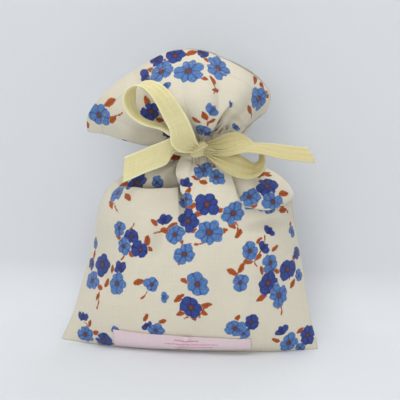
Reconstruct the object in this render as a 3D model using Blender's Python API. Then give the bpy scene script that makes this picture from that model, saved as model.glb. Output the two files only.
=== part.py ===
"""Filled cotton sachet pouch, standing on its base, tied at the neck with one ribbon in a bow.

Metres, +Z up, the front faces -Y. The origin is on the floor, under the middle of the pouch.
Three pieces: the sewn and filled pouch, the ribbon, and the label sewn into the bottom seam.
"""

import math

import bpy
import numpy as np

# Clearance that keeps touching cloth surfaces apart
CLOTH_GAP = 0.0003

# Pouch: the filled body at its stations from the floor up. The drops are counted from the foot of the neck
BASE_HALF_WIDTH = 0.0550
BASE_HALF_DEPTH = 0.0135
RIM_HEIGHT = 0.0065
RIM_HALF_WIDTH = 0.0532
RIM_HALF_DEPTH = 0.0198
BELLY_HEIGHT = 0.0300
BELLY_HALF_WIDTH = 0.0465
BELLY_HALF_DEPTH = 0.0225
WAIST_DROP = 0.0241
WAIST_HALF_WIDTH = 0.0413
WAIST_HALF_DEPTH = 0.0208
SHOULDER_DROP = 0.0133
SHOULDER_HALF_WIDTH = 0.0374
SHOULDER_HALF_DEPTH = 0.0175
CREST_DROP = 0.0076
CREST_HALF_WIDTH = 0.0312
CREST_HALF_DEPTH = 0.0145
COLLAR_DROP = 0.0031
COLLAR_HALF_WIDTH = 0.0220
COLLAR_HALF_DEPTH = 0.0108
TIE_HEIGHT = 0.0840
NECK_HALF_WIDTH = 0.0095
NECK_HALF_DEPTH = 0.0065
NECK_SHIFT = 0.0035  # the neck stands this far to the right of the base's middle
NECK_ROOM = 0.0013  # the neck stays straight this far below the ribbon's band

# How pointed each station's plan is: 1 is a lens with sharp ends, 0.5 is an ellipse
BASE_POINT = 0.95
RIM_POINT = 0.80
BELLY_POINT = 0.58
UPPER_POINT = 0.50

# Frill: the cloth above the tie, fanned out to the left and right
FRILL_LENGTH = 0.0378
FRILL_LEFT_EXTRA = 0.0085
FRILL_RIGHT_EXTRA = -0.0035
FRILL_LEFT_DEG = -82.0
FRILL_RIGHT_DEG = 57.0
FRILL_DROOP_DEG = 17.0
FRILL_PUFF = 0.0110
MOUTH_HALF_DEPTH = 0.0052
FRILL_WALL = 0.0010
MOUTH_FLOOR_SHARE = 0.45  # the hollow of the mouth ends this far up the frill
FRONT_NOD_DEG = -6.0
LEFT_TURN_DEG = 4.0
RIGHT_TURN_DEG = 27.0

# Folds: where the creases run, as shares of a panel from its middle (0) to a side seam (-1 or 1)
FRONT_CREASES = (-0.62, -0.16, 0.36)
BACK_CREASES = (0.55, 0.02, -0.50)
FOLD_DROP = 0.0380  # the folds run this far down the body from the foot of the neck
FOLD_DEPTH = 0.0034
NECK_FOLD_DEPTH = 0.0016
HEM_FOLD_DEPTH = 0.0009
GATHERS_PER_FOLD = 3
GATHER_DEPTH = 0.0009

# Ribbon
RIBBON_WIDTH = 0.0100
RIBBON_THICKNESS = 0.0005
BAND_HEIGHT = 0.0052
LEFT_LOOP_REACH = 0.0380
RIGHT_LOOP_REACH = 0.0264
LEFT_TAIL_REACH = 0.0330
RIGHT_TAIL_REACH = 0.0470
KNOT_HALF_WIDTH = 0.0034
KNOT_HALF_DEPTH = 0.0030
KNOT_HALF_HEIGHT = 0.0032
SEAT_REACH = 0.0030

# Label
LABEL_LEFT = -0.0335
LABEL_RIGHT = 0.0240
LABEL_LEFT_HEIGHT = 0.0088
LABEL_RIGHT_HEIGHT = 0.0056
LABEL_THICKNESS = 0.0004

# Mesh counts
COLUMNS = 88
BODY_ROWS = 24
FRILL_ROWS = 16
MOUTH_ROWS = 8
RIBBON_STEPS = 28
ACROSS_STEPS = 4
LABEL_STEPS = 16


def clear_scene():
    for thing in list(bpy.data.objects):
        bpy.data.objects.remove(thing)


def make_material(name, colour, roughness):
    material = bpy.data.materials.new(name)
    material.use_nodes = True
    shader = material.node_tree.nodes["Principled BSDF"]
    shader.inputs["Base Color"].default_value = (*colour, 1.0)
    shader.inputs["Roughness"].default_value = roughness
    shader.inputs["Metallic"].default_value = 0.0
    return material


def make_object(name, points, faces, material):
    mesh = bpy.data.meshes.new(name)
    mesh.from_pydata([tuple(p) for p in points], [], [tuple(int(i) for i in f) for f in faces])
    mesh.materials.append(material)
    mesh.shade_smooth()
    mesh.set_sharp_from_angle(angle=math.radians(50))
    made = bpy.data.objects.new(name, mesh)
    bpy.context.scene.collection.objects.link(made)
    return made


def smooth_through(stations, count):
    """A smooth curve through the stations, as count rows evenly spread over its length."""
    stations = np.asarray(stations, float)
    steps = np.linalg.norm(np.diff(stations[:, :3], axis=0), axis=1)
    knots = np.concatenate([[0.0], np.cumsum(steps)])
    slopes = np.gradient(stations, knots, axis=0)
    at = np.linspace(0.0, knots[-1], count)
    cell = np.clip(np.searchsorted(knots, at, side="right") - 1, 0, len(knots) - 2)
    width = knots[cell + 1] - knots[cell]
    t = ((at - knots[cell]) / width)[:, None]
    width = width[:, None]
    return (
        (2 * t**3 - 3 * t**2 + 1) * stations[cell]
        + (t**3 - 2 * t**2 + t) * width * slopes[cell]
        + (3 * t**2 - 2 * t**3) * stations[cell + 1]
        + (t**3 - t**2) * width * slopes[cell + 1]
    )


def smooth_step(x):
    x = np.clip(x, 0.0, 1.0)
    return x * x * (3 - 2 * x)


def evenly(curve, count):
    """The open curve again, as count + 1 points an equal length apart."""
    steps = np.linalg.norm(np.diff(curve, axis=0), axis=1)
    along = np.concatenate([[0.0], np.cumsum(steps)])
    at = np.linspace(0.0, along[-1], count + 1)
    return np.stack([np.interp(at, along, curve[:, k]) for k in range(3)], axis=1)


def closed_row(front, back):
    """One row round the pouch: the front panel from left seam to right, then the back panel home."""
    half = COLUMNS // 2
    return np.concatenate([evenly(front, half)[:-1], evenly(back[::-1], half)[:-1]])


def across_panel():
    """Places across a panel, -1 at the left seam and 1 at the right, closer together at the seams."""
    return -np.cos(np.linspace(0.0, math.pi, 161))


def body_rows():
    """The filled body without its folds: a lens at the floor that turns into an oval at the neck."""
    neck_foot = TIE_HEIGHT - BAND_HEIGHT / 2 - NECK_ROOM
    collar_height = neck_foot - COLLAR_DROP
    stations = [
        (0.0, BASE_HALF_WIDTH, BASE_HALF_DEPTH, BASE_POINT),
        (RIM_HEIGHT, RIM_HALF_WIDTH, RIM_HALF_DEPTH, RIM_POINT),
        (BELLY_HEIGHT, BELLY_HALF_WIDTH, BELLY_HALF_DEPTH, BELLY_POINT),
        (neck_foot - WAIST_DROP, WAIST_HALF_WIDTH, WAIST_HALF_DEPTH, UPPER_POINT),
        (neck_foot - SHOULDER_DROP, SHOULDER_HALF_WIDTH, SHOULDER_HALF_DEPTH, UPPER_POINT),
        (neck_foot - CREST_DROP, CREST_HALF_WIDTH, CREST_HALF_DEPTH, UPPER_POINT),
        (collar_height, COLLAR_HALF_WIDTH, COLLAR_HALF_DEPTH, UPPER_POINT),
        (neck_foot, NECK_HALF_WIDTH, NECK_HALF_DEPTH, UPPER_POINT),
        (TIE_HEIGHT + BAND_HEIGHT / 2, NECK_HALF_WIDTH, NECK_HALF_DEPTH, UPPER_POINT),
    ]
    across = across_panel()
    rows = []
    for height, half_width, half_depth, point in smooth_through(stations, BODY_ROWS):
        shift = NECK_SHIFT * smooth_step((height - BELLY_HEIGHT) / (collar_height - BELLY_HEIGHT))
        depth = half_depth * np.maximum(1 - across**2, 0.0) ** point
        plan = np.stack([shift + half_width * across, -depth, np.full_like(across, height)], axis=1)
        rows.append(closed_row(plan, plan * (1, -1, 1)))
    return np.array(rows)


def frill_sheets(share, across):
    """The front and back of the frill at this share of its length, for places across a panel."""
    quarter = across * math.pi / 2
    tip_lift = 1 - across**2
    turn = np.radians(
        FRILL_LEFT_DEG + (FRILL_RIGHT_DEG - FRILL_LEFT_DEG) * (across + 1) / 2
        + FRILL_DROOP_DEG * across * math.sin(math.pi * share)
    )
    back_turn = np.radians(
        FRONT_NOD_DEG * tip_lift
        + LEFT_TURN_DEG * np.clip(-across, 0, 1) ** 3
        + RIGHT_TURN_DEG * np.clip(across, 0, 1) ** 3
    )
    length = (
        FRILL_LENGTH
        + FRILL_LEFT_EXTRA * np.clip(-across, 0, 1) ** 1.5
        + FRILL_RIGHT_EXTRA * np.clip(across, 0, 1) ** 1.5
    )[:, None]
    middle = np.array([NECK_SHIFT, 0.0, TIE_HEIGHT + BAND_HEIGHT / 2])
    outward = np.stack(
        [np.sin(turn) * np.cos(back_turn), np.sin(back_turn), np.cos(turn) * np.cos(back_turn)], axis=1
    )
    upward = np.array([0.0, 0.0, 1.0])
    swell = FRILL_PUFF * math.sin(math.pi * share) ** 1.3 + MOUTH_HALF_DEPTH * smooth_step(share)
    sheets = []
    for side in (-1, 1):
        neck = middle + np.stack(
            [NECK_HALF_WIDTH * np.sin(quarter), side * NECK_HALF_DEPTH * np.cos(quarter), 0 * across], axis=1
        )
        hem = middle + length * outward
        rise = length * upward
        spread = length * outward
        t = share
        sheet = (
            (2 * t**3 - 3 * t**2 + 1) * neck
            + (t**3 - 2 * t**2 + t) * rise
            + (3 * t**2 - 2 * t**3) * hem
            + (t**3 - t**2) * spread
        )
        sheet[:, 1] += side * swell * np.maximum(tip_lift, 0.0) ** 0.6
        sheets.append(sheet)
    return sheets


def frill_rows():
    across = across_panel()
    shares = np.linspace(0.0, 1.0, FRILL_ROWS + 1)[1:]
    return np.array([closed_row(*frill_sheets(share, across)) for share in shares])


def round_waves():
    """Round lobes with sharp creases, once per fold and once per gather, from -1 to 1 round a row."""
    creases = sorted([(c + 1) / 4 for c in FRONT_CREASES] + [1 - (c + 1) / 4 for c in BACK_CREASES])
    knots = np.array([creases[-1] - 1, *creases, creases[0] + 1])
    place = np.arange(COLUMNS) / COLUMNS
    phase = np.interp(place, knots, np.arange(len(knots)))
    folds = 2 * np.sqrt(np.sin(math.pi * phase) ** 2 + 0.01) - 1
    gathers = np.cos(2 * math.pi * GATHERS_PER_FOLD * (phase + 0.5))
    return folds, gathers


def fold_depths(rows):
    """How deep the folds and the gathers are in each row: none in the belly, most at the tie."""
    below = TIE_HEIGHT - BAND_HEIGHT / 2 - NECK_ROOM - rows[:BODY_ROWS, 0, 2]
    rise = smooth_step((FOLD_DROP - below) / (FOLD_DROP - COLLAR_DROP))
    pinch = smooth_step((SHOULDER_DROP - below) / SHOULDER_DROP)
    body_folds = FOLD_DEPTH * rise * (1 - pinch) + NECK_FOLD_DEPTH * pinch
    body_gathers = GATHER_DEPTH * pinch
    share = np.linspace(0.0, 1.0, FRILL_ROWS + 1)[1:]
    opened = smooth_step(share / 0.35)
    tail = smooth_step((share - 0.35) / 0.65)
    frill_folds = NECK_FOLD_DEPTH * (1 - opened) + (FOLD_DEPTH * (1 - tail) + HEM_FOLD_DEPTH * tail) * opened
    frill_gathers = GATHER_DEPTH * (1 - smooth_step(share / 0.6))
    return np.concatenate([body_folds, frill_folds]), np.concatenate([body_gathers, frill_gathers])


def row_normals(rows):
    """Outward directions of the surface, from its slopes round the rows and up the columns."""
    around = np.roll(rows, -1, axis=1) - np.roll(rows, 1, axis=1)
    upward = np.gradient(rows, axis=0)
    normals = np.cross(around, upward)
    return normals / np.linalg.norm(normals, axis=2, keepdims=True)


def pouch_rows():
    """The outside of the pouch with its folds, row by row from the floor to the hem."""
    rows = np.concatenate([body_rows(), frill_rows()])
    folds, gathers = round_waves()
    fold_depth, gather_depth = fold_depths(rows)
    shift = fold_depth[:, None] * folds + gather_depth[:, None] * gathers
    return rows + row_normals(rows) * shift[:, :, None]


def mouth_rows():
    """The inside of the frill, from the hem down to the bottom of the mouth."""
    shares = np.linspace(1.0, MOUTH_FLOOR_SHARE, MOUTH_ROWS)
    across = across_panel() * 0.93
    rows = []
    for share in shares:
        front, back = frill_sheets(share, across)
        middle = (front + back) / 2
        room = np.abs(back[:, 1] - front[:, 1]) / 2
        fold = HEM_FOLD_DEPTH + (FOLD_DEPTH - HEM_FOLD_DEPTH) * smooth_step((1 - share) / 0.65)
        taken = (FRILL_WALL + 1.2 * fold) / room.max()
        inset = np.clip(1 - taken, 0.15, 0.9)
        ends = np.sqrt(np.maximum(1 - (across / across.max()) ** 2, 0.0))[:, None]
        rows.append(closed_row(middle + (front - middle) * inset * ends, middle + (back - middle) * inset * ends))
    return np.array(rows)


def wall_faces(first, last, count):
    """Quads between ring number first and ring number last, each of count points."""
    faces = []
    for ring in range(first, last):
        for column in range(count):
            beside = (column + 1) % count
            faces.append(
                (
                    ring * count + column,
                    ring * count + beside,
                    (ring + 1) * count + beside,
                    (ring + 1) * count + column,
                )
            )
    return faces


def flat_cap_faces(ring, count, facing_up):
    """Quads across a ring between its front half and its back half, which mirror each other."""
    faces = []
    half = count // 2
    start = ring * count
    for column in range(half):
        front = (start + column, start + column + 1)
        back = (start + (count - column) % count, start + (count - column - 1) % count)
        face = (front[0], front[1], back[1], back[0])
        face = tuple(dict.fromkeys(face))
        faces.append(face if facing_up else face[::-1])
    return faces


def make_pouch(cotton):
    outside = pouch_rows()
    rings = np.concatenate([outside, mouth_rows()])
    rings[0, :, 2] = 0.0
    total = len(rings)
    faces = wall_faces(0, total - 1, COLUMNS)
    faces += flat_cap_faces(0, COLUMNS, facing_up=False)
    faces += flat_cap_faces(total - 1, COLUMNS, facing_up=True)
    make_object("pouch", rings.reshape(-1, 3), faces, cotton)
    return outside.reshape(-1, 3)


def front_of(surface, points, reach):
    """How far forward the pouch comes within this reach of each point, seen from the front."""
    gaps = np.hypot(surface[:, 0] - points[..., 0, None], surface[:, 2] - points[..., 2, None])
    return np.where(gaps < reach, surface[:, 1], 0.0).min(axis=-1)


def ribbon_surface(route, reach, knot, surface):
    """Rows of points across the ribbon, along a route that goes this far from the knot's middle.

    Each station is the near edge's x, lift and z, then the far edge's x, lift and z, where lift is towards the front.
    They are millimetres from the knot's middle, drawn for a ribbon 10 mm wide.
    Rows that the pouch would be in the way of come forward, but the ends stay in the knot.
    """
    run = smooth_through(np.array(route) / 1000, RIBBON_STEPS) * (1, -1, 1, 1, -1, 1)
    middle = (run[:, :3] + run[:, 3:]) / 2
    across = (run[:, 3:] - run[:, :3]) * RIBBON_WIDTH / 0.010
    middle *= reach / np.hypot(middle[:, 0], middle[:, 2]).max()
    places = np.linspace(-0.5, 0.5, ACROSS_STEPS + 1)[:, None]
    rows = knot + middle[:, None] + across[:, None] * places
    limit = front_of(surface, rows, SEAT_REACH) - CLOTH_GAP - RIBBON_THICKNESS
    push = np.maximum(rows[:, :, 1] - limit, 0.0).max(axis=1)
    push *= smooth_step((np.hypot(middle[:, 0], middle[:, 2]) - KNOT_HALF_WIDTH) / KNOT_HALF_WIDTH)
    ringed = np.pad(push, 2)
    widest = np.max([ringed[k : k + len(push)] for k in range(5)], axis=0)
    ringed = np.pad(widest, 2)
    rows[:, :, 1] -= np.mean([ringed[k : k + len(push)] for k in range(5)], axis=0)[:, None]
    return rows


def ribbon_strip(name, rows, end_cut, material):
    """A closed strip of ribbon through rows of points, with its last end cut on a slant."""
    along = np.gradient(rows, axis=0)
    along /= np.linalg.norm(along, axis=2, keepdims=True)
    across = np.gradient(rows, axis=1)
    normal = np.cross(along, across)
    normal *= RIBBON_THICKNESS / 2 / np.linalg.norm(normal, axis=2, keepdims=True)
    rows[-1] += along[-1] * np.linspace(-0.5, 0.5, ACROSS_STEPS + 1)[:, None] * end_cut
    section = np.concatenate([rows + normal, (rows - normal)[:, ::-1]], axis=1)
    steps, count = section.shape[:2]
    faces = [face[::-1] for face in wall_faces(0, steps - 1, count)]
    for ring, flip in ((0, True), (steps - 1, False)):
        for column in range(ACROSS_STEPS):
            face = [
                ring * count + column,
                ring * count + column + 1,
                ring * count + count - 2 - column,
                ring * count + count - 1 - column,
            ]
            faces.append(face if flip else face[::-1])
    return make_object(name, section.reshape(-1, 3), faces, material)


def as_cutter(thing):
    thing.hide_render = True
    thing.display_type = "WIRE"
    return thing


def join_to(target, other):
    """Joins another solid to the target. The strips cross each other in the knot, which EXACT can't join."""
    union = target.modifiers.new(other.name, "BOOLEAN")
    union.operation = "UNION"
    union.solver = "MANIFOLD"
    union.object = as_cutter(other)


def make_band(material, half_width, half_depth):
    """The turn of ribbon round the neck, a flat ring on edge."""
    steps = 48
    angles = np.linspace(0.0, 2 * math.pi, steps, endpoint=False)
    rings = []
    for outside, height in ((0, -0.5), (1, -0.5), (1, 0.5), (0, 0.5)):
        grow = RIBBON_THICKNESS * outside
        rings.append(
            np.stack(
                [
                    NECK_SHIFT + (half_width + grow) * np.cos(angles),
                    (half_depth + grow) * np.sin(angles),
                    np.full(steps, TIE_HEIGHT + BAND_HEIGHT * height),
                ],
                axis=1,
            )
        )
    rings.append(rings[0])
    points = np.concatenate(rings[:4])
    faces = []
    for ring in range(4):
        for column in range(steps):
            beside = (column + 1) % steps
            above = (ring + 1) % 4
            faces.append(
                (ring * steps + column, ring * steps + beside, above * steps + beside, above * steps + column)
            )
    return make_object("ribbon", points, faces, material)


def make_knot(material, centre):
    """The knot, a squat round lump."""
    around, up = 16, 8
    points = [centre + np.array([0.0, 0.0, -KNOT_HALF_HEIGHT])]
    for level in range(1, up):
        tilt = math.pi * level / up - math.pi / 2
        for step in range(around):
            turn = 2 * math.pi * step / around
            points.append(
                centre
                + np.array(
                    [
                        KNOT_HALF_WIDTH * math.cos(tilt) * math.cos(turn),
                        KNOT_HALF_DEPTH * math.cos(tilt) * math.sin(turn),
                        KNOT_HALF_HEIGHT * math.sin(tilt),
                    ]
                )
            )
    points.append(centre + np.array([0.0, 0.0, KNOT_HALF_HEIGHT]))
    top = len(points) - 1
    faces = []
    for step in range(around):
        beside = (step + 1) % around
        faces.append((0, 1 + beside, 1 + step))
        for level in range(up - 2):
            low = 1 + level * around
            faces.append((low + step, low + beside, low + around + beside, low + around + step))
        last = 1 + (up - 2) * around
        faces.append((last + step, last + beside, top))
    return make_object("knot", points, faces, material)


# Stations of the two loops and two tails, from the knot outwards: near edge, then far edge
LEFT_LOOP = [
    (-0.5, 1.0, -1.5, 0.5, 1.0, 2.4),
    (-8.5, 3.6, 2.8, -2.9, 3.4, 7.0),
    (-16.8, 8.0, 12.6, -6.9, 7.2, 15.1),
    (-21.0, 9.8, 20.6, -11.8, 8.0, 23.5),
    (-24.4, 10.6, 24.4, -16.6, 6.2, 27.3),
    (-28.1, 10.2, 25.6, -21.6, 4.8, 28.0),
    (-31.1, 9.2, 24.2, -26.0, 2.4, 26.0),
    (-32.8, 8.6, 21.0, -27.7, 1.4, 22.3),
    (-31.9, 8.0, 17.2, -26.9, 0.6, 18.5),
    (-29.0, 6.6, 13.4, -24.8, -1.4, 14.7),
    (-24.4, 5.0, 10.6, -21.0, -3.0, 11.6),
    (-18.9, 3.4, 8.2, -16.8, -3.6, 9.2),
    (-13.0, 1.8, 5.4, -12.0, -3.0, 6.6),
    (-6.0, 0.4, 2.0, -5.4, -2.0, 4.4),
    (-0.5, -0.8, -1.0, 0.2, -1.0, 2.0),
]
RIGHT_LOOP = [
    (0.6, 1.2, 1.6, 0.4, 0.8, -2.4),
    (4.8, 4.4, -0.6, 3.2, 4.0, -6.6),
    (10.2, 6.2, -1.7, 9.2, 5.6, -10.5),
    (16.0, 6.8, -4.0, 16.8, 4.0, -12.8),
    (21.0, 6.6, -6.3, 23.5, 1.4, -12.6),
    (23.7, 5.8, -5.0, 26.9, -2.4, -9.6),
    (23.5, 4.2, -1.7, 27.3, -4.4, -4.6),
    (21.4, 2.2, 2.2, 25.0, -6.0, -0.8),
    (16.8, 1.2, 5.0, 20.0, -6.0, 0.6),
    (10.5, 0.2, 4.8, 12.0, -4.2, -0.6),
    (5.0, -0.6, 3.0, 5.4, -2.6, -1.4),
    (0.6, -0.8, 1.8, 0.6, -1.0, -2.0),
]
LEFT_TAIL = [
    (0.0, -0.6, -2.2, 0.2, -0.6, 1.6),
    (-6.5, 0.6, -3.2, -5.0, -0.4, 2.4),
    (-14.3, 2.4, -6.2, -11.0, -0.2, 2.6),
    (-22.5, 2.6, -10.0, -19.0, 0.8, -0.6),
    (-33.4, 2.6, -14.2, -29.8, 1.4, -4.8),
]
RIGHT_TAIL = [
    (0.4, 1.0, -1.4, 0.4, 1.2, 2.0),
    (5.2, 2.6, -0.8, 5.0, 2.4, 1.6),
    (10.5, 4.6, -1.2, 10.5, 3.6, 2.2),
    (17.4, 8.2, -2.2, 18.0, 3.6, 3.4),
    (26.0, 9.6, -2.8, 26.0, 2.4, 3.6),
    (34.9, 9.4, -4.4, 35.7, 1.8, 2.0),
    (46.4, 8.6, -6.2, 47.2, 1.0, 0.4),
]


def make_ribbon(material, surface):
    """The whole ribbon: band, knot, two loops and two tails, joined into one piece."""
    fold_reach = NECK_FOLD_DEPTH * 1.05 + GATHER_DEPTH
    half_width = NECK_HALF_WIDTH + fold_reach + CLOTH_GAP
    half_depth = NECK_HALF_DEPTH + fold_reach + CLOTH_GAP
    ribbon = make_band(material, half_width, half_depth)
    knot = np.array([NECK_SHIFT, -half_depth - RIBBON_THICKNESS - KNOT_HALF_DEPTH * 0.9, TIE_HEIGHT])
    join_to(ribbon, make_knot(material, knot))
    for name, route, reach, end_cut in (
        ("left_loop", LEFT_LOOP, LEFT_LOOP_REACH, 0.0),
        ("right_loop", RIGHT_LOOP, RIGHT_LOOP_REACH, 0.0),
        ("left_tail", LEFT_TAIL, LEFT_TAIL_REACH, 0.003),
        ("right_tail", RIGHT_TAIL, RIGHT_TAIL_REACH, -0.004),
    ):
        rows = ribbon_surface(route, reach, knot, surface)
        join_to(ribbon, ribbon_strip(name, rows, end_cut, material))
    return ribbon


def make_label(material, surface):
    """The satin label: a strip that follows the pouch's front round its lower edge."""
    gap = CLOTH_GAP
    places = np.linspace(LABEL_LEFT, LABEL_RIGHT, LABEL_STEPS)
    rows = surface.reshape(-1, COLUMNS, 3)[:, : COLUMNS // 2 + 1]
    section = []
    for x in places:
        share = (x - LABEL_LEFT) / (LABEL_RIGHT - LABEL_LEFT)
        top = LABEL_LEFT_HEIGHT + (LABEL_RIGHT_HEIGHT - LABEL_LEFT_HEIGHT) * share
        profile = np.array([[np.interp(x, row[:, 0], row[:, 1]), row[0, 2]] for row in rows[:10]])
        slope = np.gradient(profile, axis=0)
        out = np.stack([-slope[:, 1], slope[:, 0]], axis=1)
        out /= np.linalg.norm(out, axis=1, keepdims=True)
        inner = profile + out * gap
        outer = profile + out * (gap + LABEL_THICKNESS)
        low = np.interp(gap, outer[:, 1], np.arange(len(outer)))
        high = np.interp(top, outer[:, 1], np.arange(len(outer)))
        at = np.linspace(low, high, 7)
        pick = np.arange(len(outer))
        inner = np.stack([np.interp(at, pick, inner[:, k]) for k in range(2)], axis=1)
        outer = np.stack([np.interp(at, pick, outer[:, k]) for k in range(2)], axis=1)
        ring = np.concatenate([outer, inner[::-1]])
        section.append(np.stack([np.full(len(ring), x), ring[:, 0], ring[:, 1]], axis=1))
    section = np.array(section)
    count = section.shape[1]
    faces = [face[::-1] for face in wall_faces(0, LABEL_STEPS - 1, count)]
    faces.append(tuple(range(count)))
    faces.append(tuple(range((LABEL_STEPS - 1) * count, LABEL_STEPS * count))[::-1])
    return make_object("label", section.reshape(-1, 3), faces, material)


def main():
    clear_scene()
    cotton = make_material("printed_cotton", (0.80, 0.77, 0.70), 0.9)
    ribbon_cream = make_material("cream_ribbon", (0.80, 0.74, 0.48), 0.5)
    satin_pink = make_material("pink_satin", (0.82, 0.66, 0.70), 0.45)
    surface = make_pouch(cotton)
    make_ribbon(ribbon_cream, surface)
    make_label(satin_pink, surface)


main()
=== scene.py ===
# A filled cotton pouch that stands on its base, tied at the neck with one ribbon in a bow.
# The cloth, its print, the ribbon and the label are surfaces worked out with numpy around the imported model.
# Lengths are millimetres in the dictionaries and in the shape functions, and metres in the meshes.
import math

import bpy
import numpy as np
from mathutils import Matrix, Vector


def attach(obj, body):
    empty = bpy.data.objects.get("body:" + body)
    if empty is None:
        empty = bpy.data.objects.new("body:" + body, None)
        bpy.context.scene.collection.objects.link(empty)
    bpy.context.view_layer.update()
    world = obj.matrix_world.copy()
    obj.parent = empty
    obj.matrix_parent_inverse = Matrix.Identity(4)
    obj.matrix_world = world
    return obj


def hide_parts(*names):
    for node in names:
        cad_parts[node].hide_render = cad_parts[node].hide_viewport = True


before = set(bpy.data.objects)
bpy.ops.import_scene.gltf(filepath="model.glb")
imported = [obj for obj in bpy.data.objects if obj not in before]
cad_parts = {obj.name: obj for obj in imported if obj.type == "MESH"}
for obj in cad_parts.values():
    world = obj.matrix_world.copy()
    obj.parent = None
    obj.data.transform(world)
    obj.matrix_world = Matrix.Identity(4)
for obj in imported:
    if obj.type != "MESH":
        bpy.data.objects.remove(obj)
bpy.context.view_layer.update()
print("packed model loaded:", sorted(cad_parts))

# Camera: where it looks, from how far, and how many millimetres one pixel is there
viewpoint = {
    "imageSize": 400,
    "target": (3.8, 0.0, 61.5),
    "distance": 450.0,
    "azimuth": 8.0,
    "elevation": 11.0,
    "pixel": 0.42,
    "sensor": 36.0,
    "clipStart": 0.01,
}


def cameraAxes():
    # back = (sin a cos e, -cos a cos e, sin e), right is level, up = back x right
    a = math.radians(viewpoint["azimuth"])
    e = math.radians(viewpoint["elevation"])
    back = np.array([math.sin(a) * math.cos(e), -math.cos(a) * math.cos(e), math.sin(e)])
    right = np.array([math.cos(a), math.sin(a), 0.0])
    return right, np.cross(back, right), back


def pixelsOf(points):
    # px = middle + x/depth * distance/pixel, and the same downwards, with depth measured from the camera
    right, up, back = cameraAxes()
    offset = points - np.array(viewpoint["target"])
    depth = viewpoint["distance"] - offset @ back
    zoom = viewpoint["distance"] / viewpoint["pixel"] / depth
    middle = viewpoint["imageSize"] / 2
    return np.stack([middle + (offset @ right) * zoom, middle - (offset @ up) * zoom], axis=-1), depth


def makeCamera():
    # lens = sensor * distance / (picture's width in millimetres), as a pinhole's
    back = cameraAxes()[2]
    data = bpy.data.cameras.new("photoCamera")
    data.sensor_width = viewpoint["sensor"]
    data.lens = viewpoint["sensor"] * viewpoint["distance"] / (viewpoint["imageSize"] * viewpoint["pixel"])
    data.clip_start = viewpoint["clipStart"]
    made = bpy.data.objects.new("photoCamera", data)
    place = np.array(viewpoint["target"]) + back * viewpoint["distance"]
    made.location = Vector(place / 1000)
    made.rotation_mode = "QUATERNION"
    made.rotation_quaternion = Vector(-back).to_track_quat("-Z", "Y")
    bpy.context.scene.collection.objects.link(made)
    bpy.context.scene.camera = made
    bpy.context.scene.view_settings.view_transform = "Standard"
    print("camera ready, lens", round(data.lens, 1), "mm")


def smoothStep(x):
    # 3 x^2 - 2 x^3, which stays 0 below 0 and 1 above 1
    x = np.clip(x, 0.0, 1.0)
    return x * x * (3 - 2 * x)


def hermite(t, start, startSlope, end, endSlope):
    # (2t^3 - 3t^2 + 1) start + (t^3 - 2t^2 + t) startSlope + (3t^2 - 2t^3) end + (t^3 - t^2) endSlope
    return (
        (2 * t**3 - 3 * t**2 + 1) * start
        + (t**3 - 2 * t**2 + t) * startSlope
        + (3 * t**2 - 2 * t**3) * end
        + (t**3 - t**2) * endSlope
    )


def smoothThrough(stations, count, byColumns=3):
    # a Hermite curve through the stations, evenly spaced along their first columns
    stations = np.asarray(stations, float)
    steps = np.linalg.norm(np.diff(stations[:, :byColumns], axis=0), axis=1)
    knots = np.concatenate([[0.0], np.cumsum(steps)])
    slopes = np.gradient(stations, knots, axis=0)
    at = np.linspace(0.0, knots[-1], count)
    cell = np.clip(np.searchsorted(knots, at, side="right") - 1, 0, len(knots) - 2)
    width = (knots[cell + 1] - knots[cell])[:, None]
    t = (at - knots[cell])[:, None] / width
    return hermite(t, stations[cell], width * slopes[cell], stations[cell + 1], width * slopes[cell + 1])


def evenly(curve, count):
    # the open curve again, as count + 1 points an equal length apart
    steps = np.linalg.norm(np.diff(curve, axis=0), axis=1)
    along = np.concatenate([[0.0], np.cumsum(steps)])
    at = np.linspace(0.0, along[-1], count + 1)
    return np.stack([np.interp(at, along, curve[:, k]) for k in range(3)], axis=1)


def gridNormals(rows, closed=True):
    # normal = slope round the row x slope up the column
    if closed:
        around = np.roll(rows, -1, axis=1) - np.roll(rows, 1, axis=1)
    else:
        around = np.gradient(rows, axis=1)
    normals = np.cross(around, np.gradient(rows, axis=0))
    return normals / np.maximum(np.linalg.norm(normals, axis=2, keepdims=True), 1e-9)


def gridFaces(rowCount, columnCount, closed):
    # quads (r, c), (r, c + 1), (r + 1, c + 1), (r + 1, c)
    last = columnCount if closed else columnCount - 1
    r, c = np.meshgrid(np.arange(rowCount - 1), np.arange(last), indexing="ij")
    below = r * columnCount
    above = below + columnCount
    beside = (c + 1) % columnCount
    return np.stack([below + c, below + beside, above + beside, above + c], axis=-1).reshape(-1, 4)


def makeMesh(name, points, faces, uv=None, fields=None, loose=()):
    # points in millimetres, quads as one array, other faces as lists, uv per point in millimetres
    mesh = bpy.data.meshes.new(name)
    mesh.from_pydata((points / 1000).tolist(), [], faces.tolist() + list(loose))
    if uv is not None:
        corner = np.empty(len(mesh.loops), np.int32)
        mesh.loops.foreach_get("vertex_index", corner)
        layer = mesh.uv_layers.new(name="clothMillimetres")
        layer.data.foreach_set("uv", uv[corner].astype(np.float32).ravel())
    for label, values in (fields or {}).items():
        attribute = mesh.attributes.new(label, "FLOAT", "POINT")
        attribute.data.foreach_set("value", values.astype(np.float32))
    mesh.shade_smooth()
    mesh.update()
    made = bpy.data.objects.new(name, mesh)
    bpy.context.scene.collection.objects.link(made)
    return made


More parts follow.
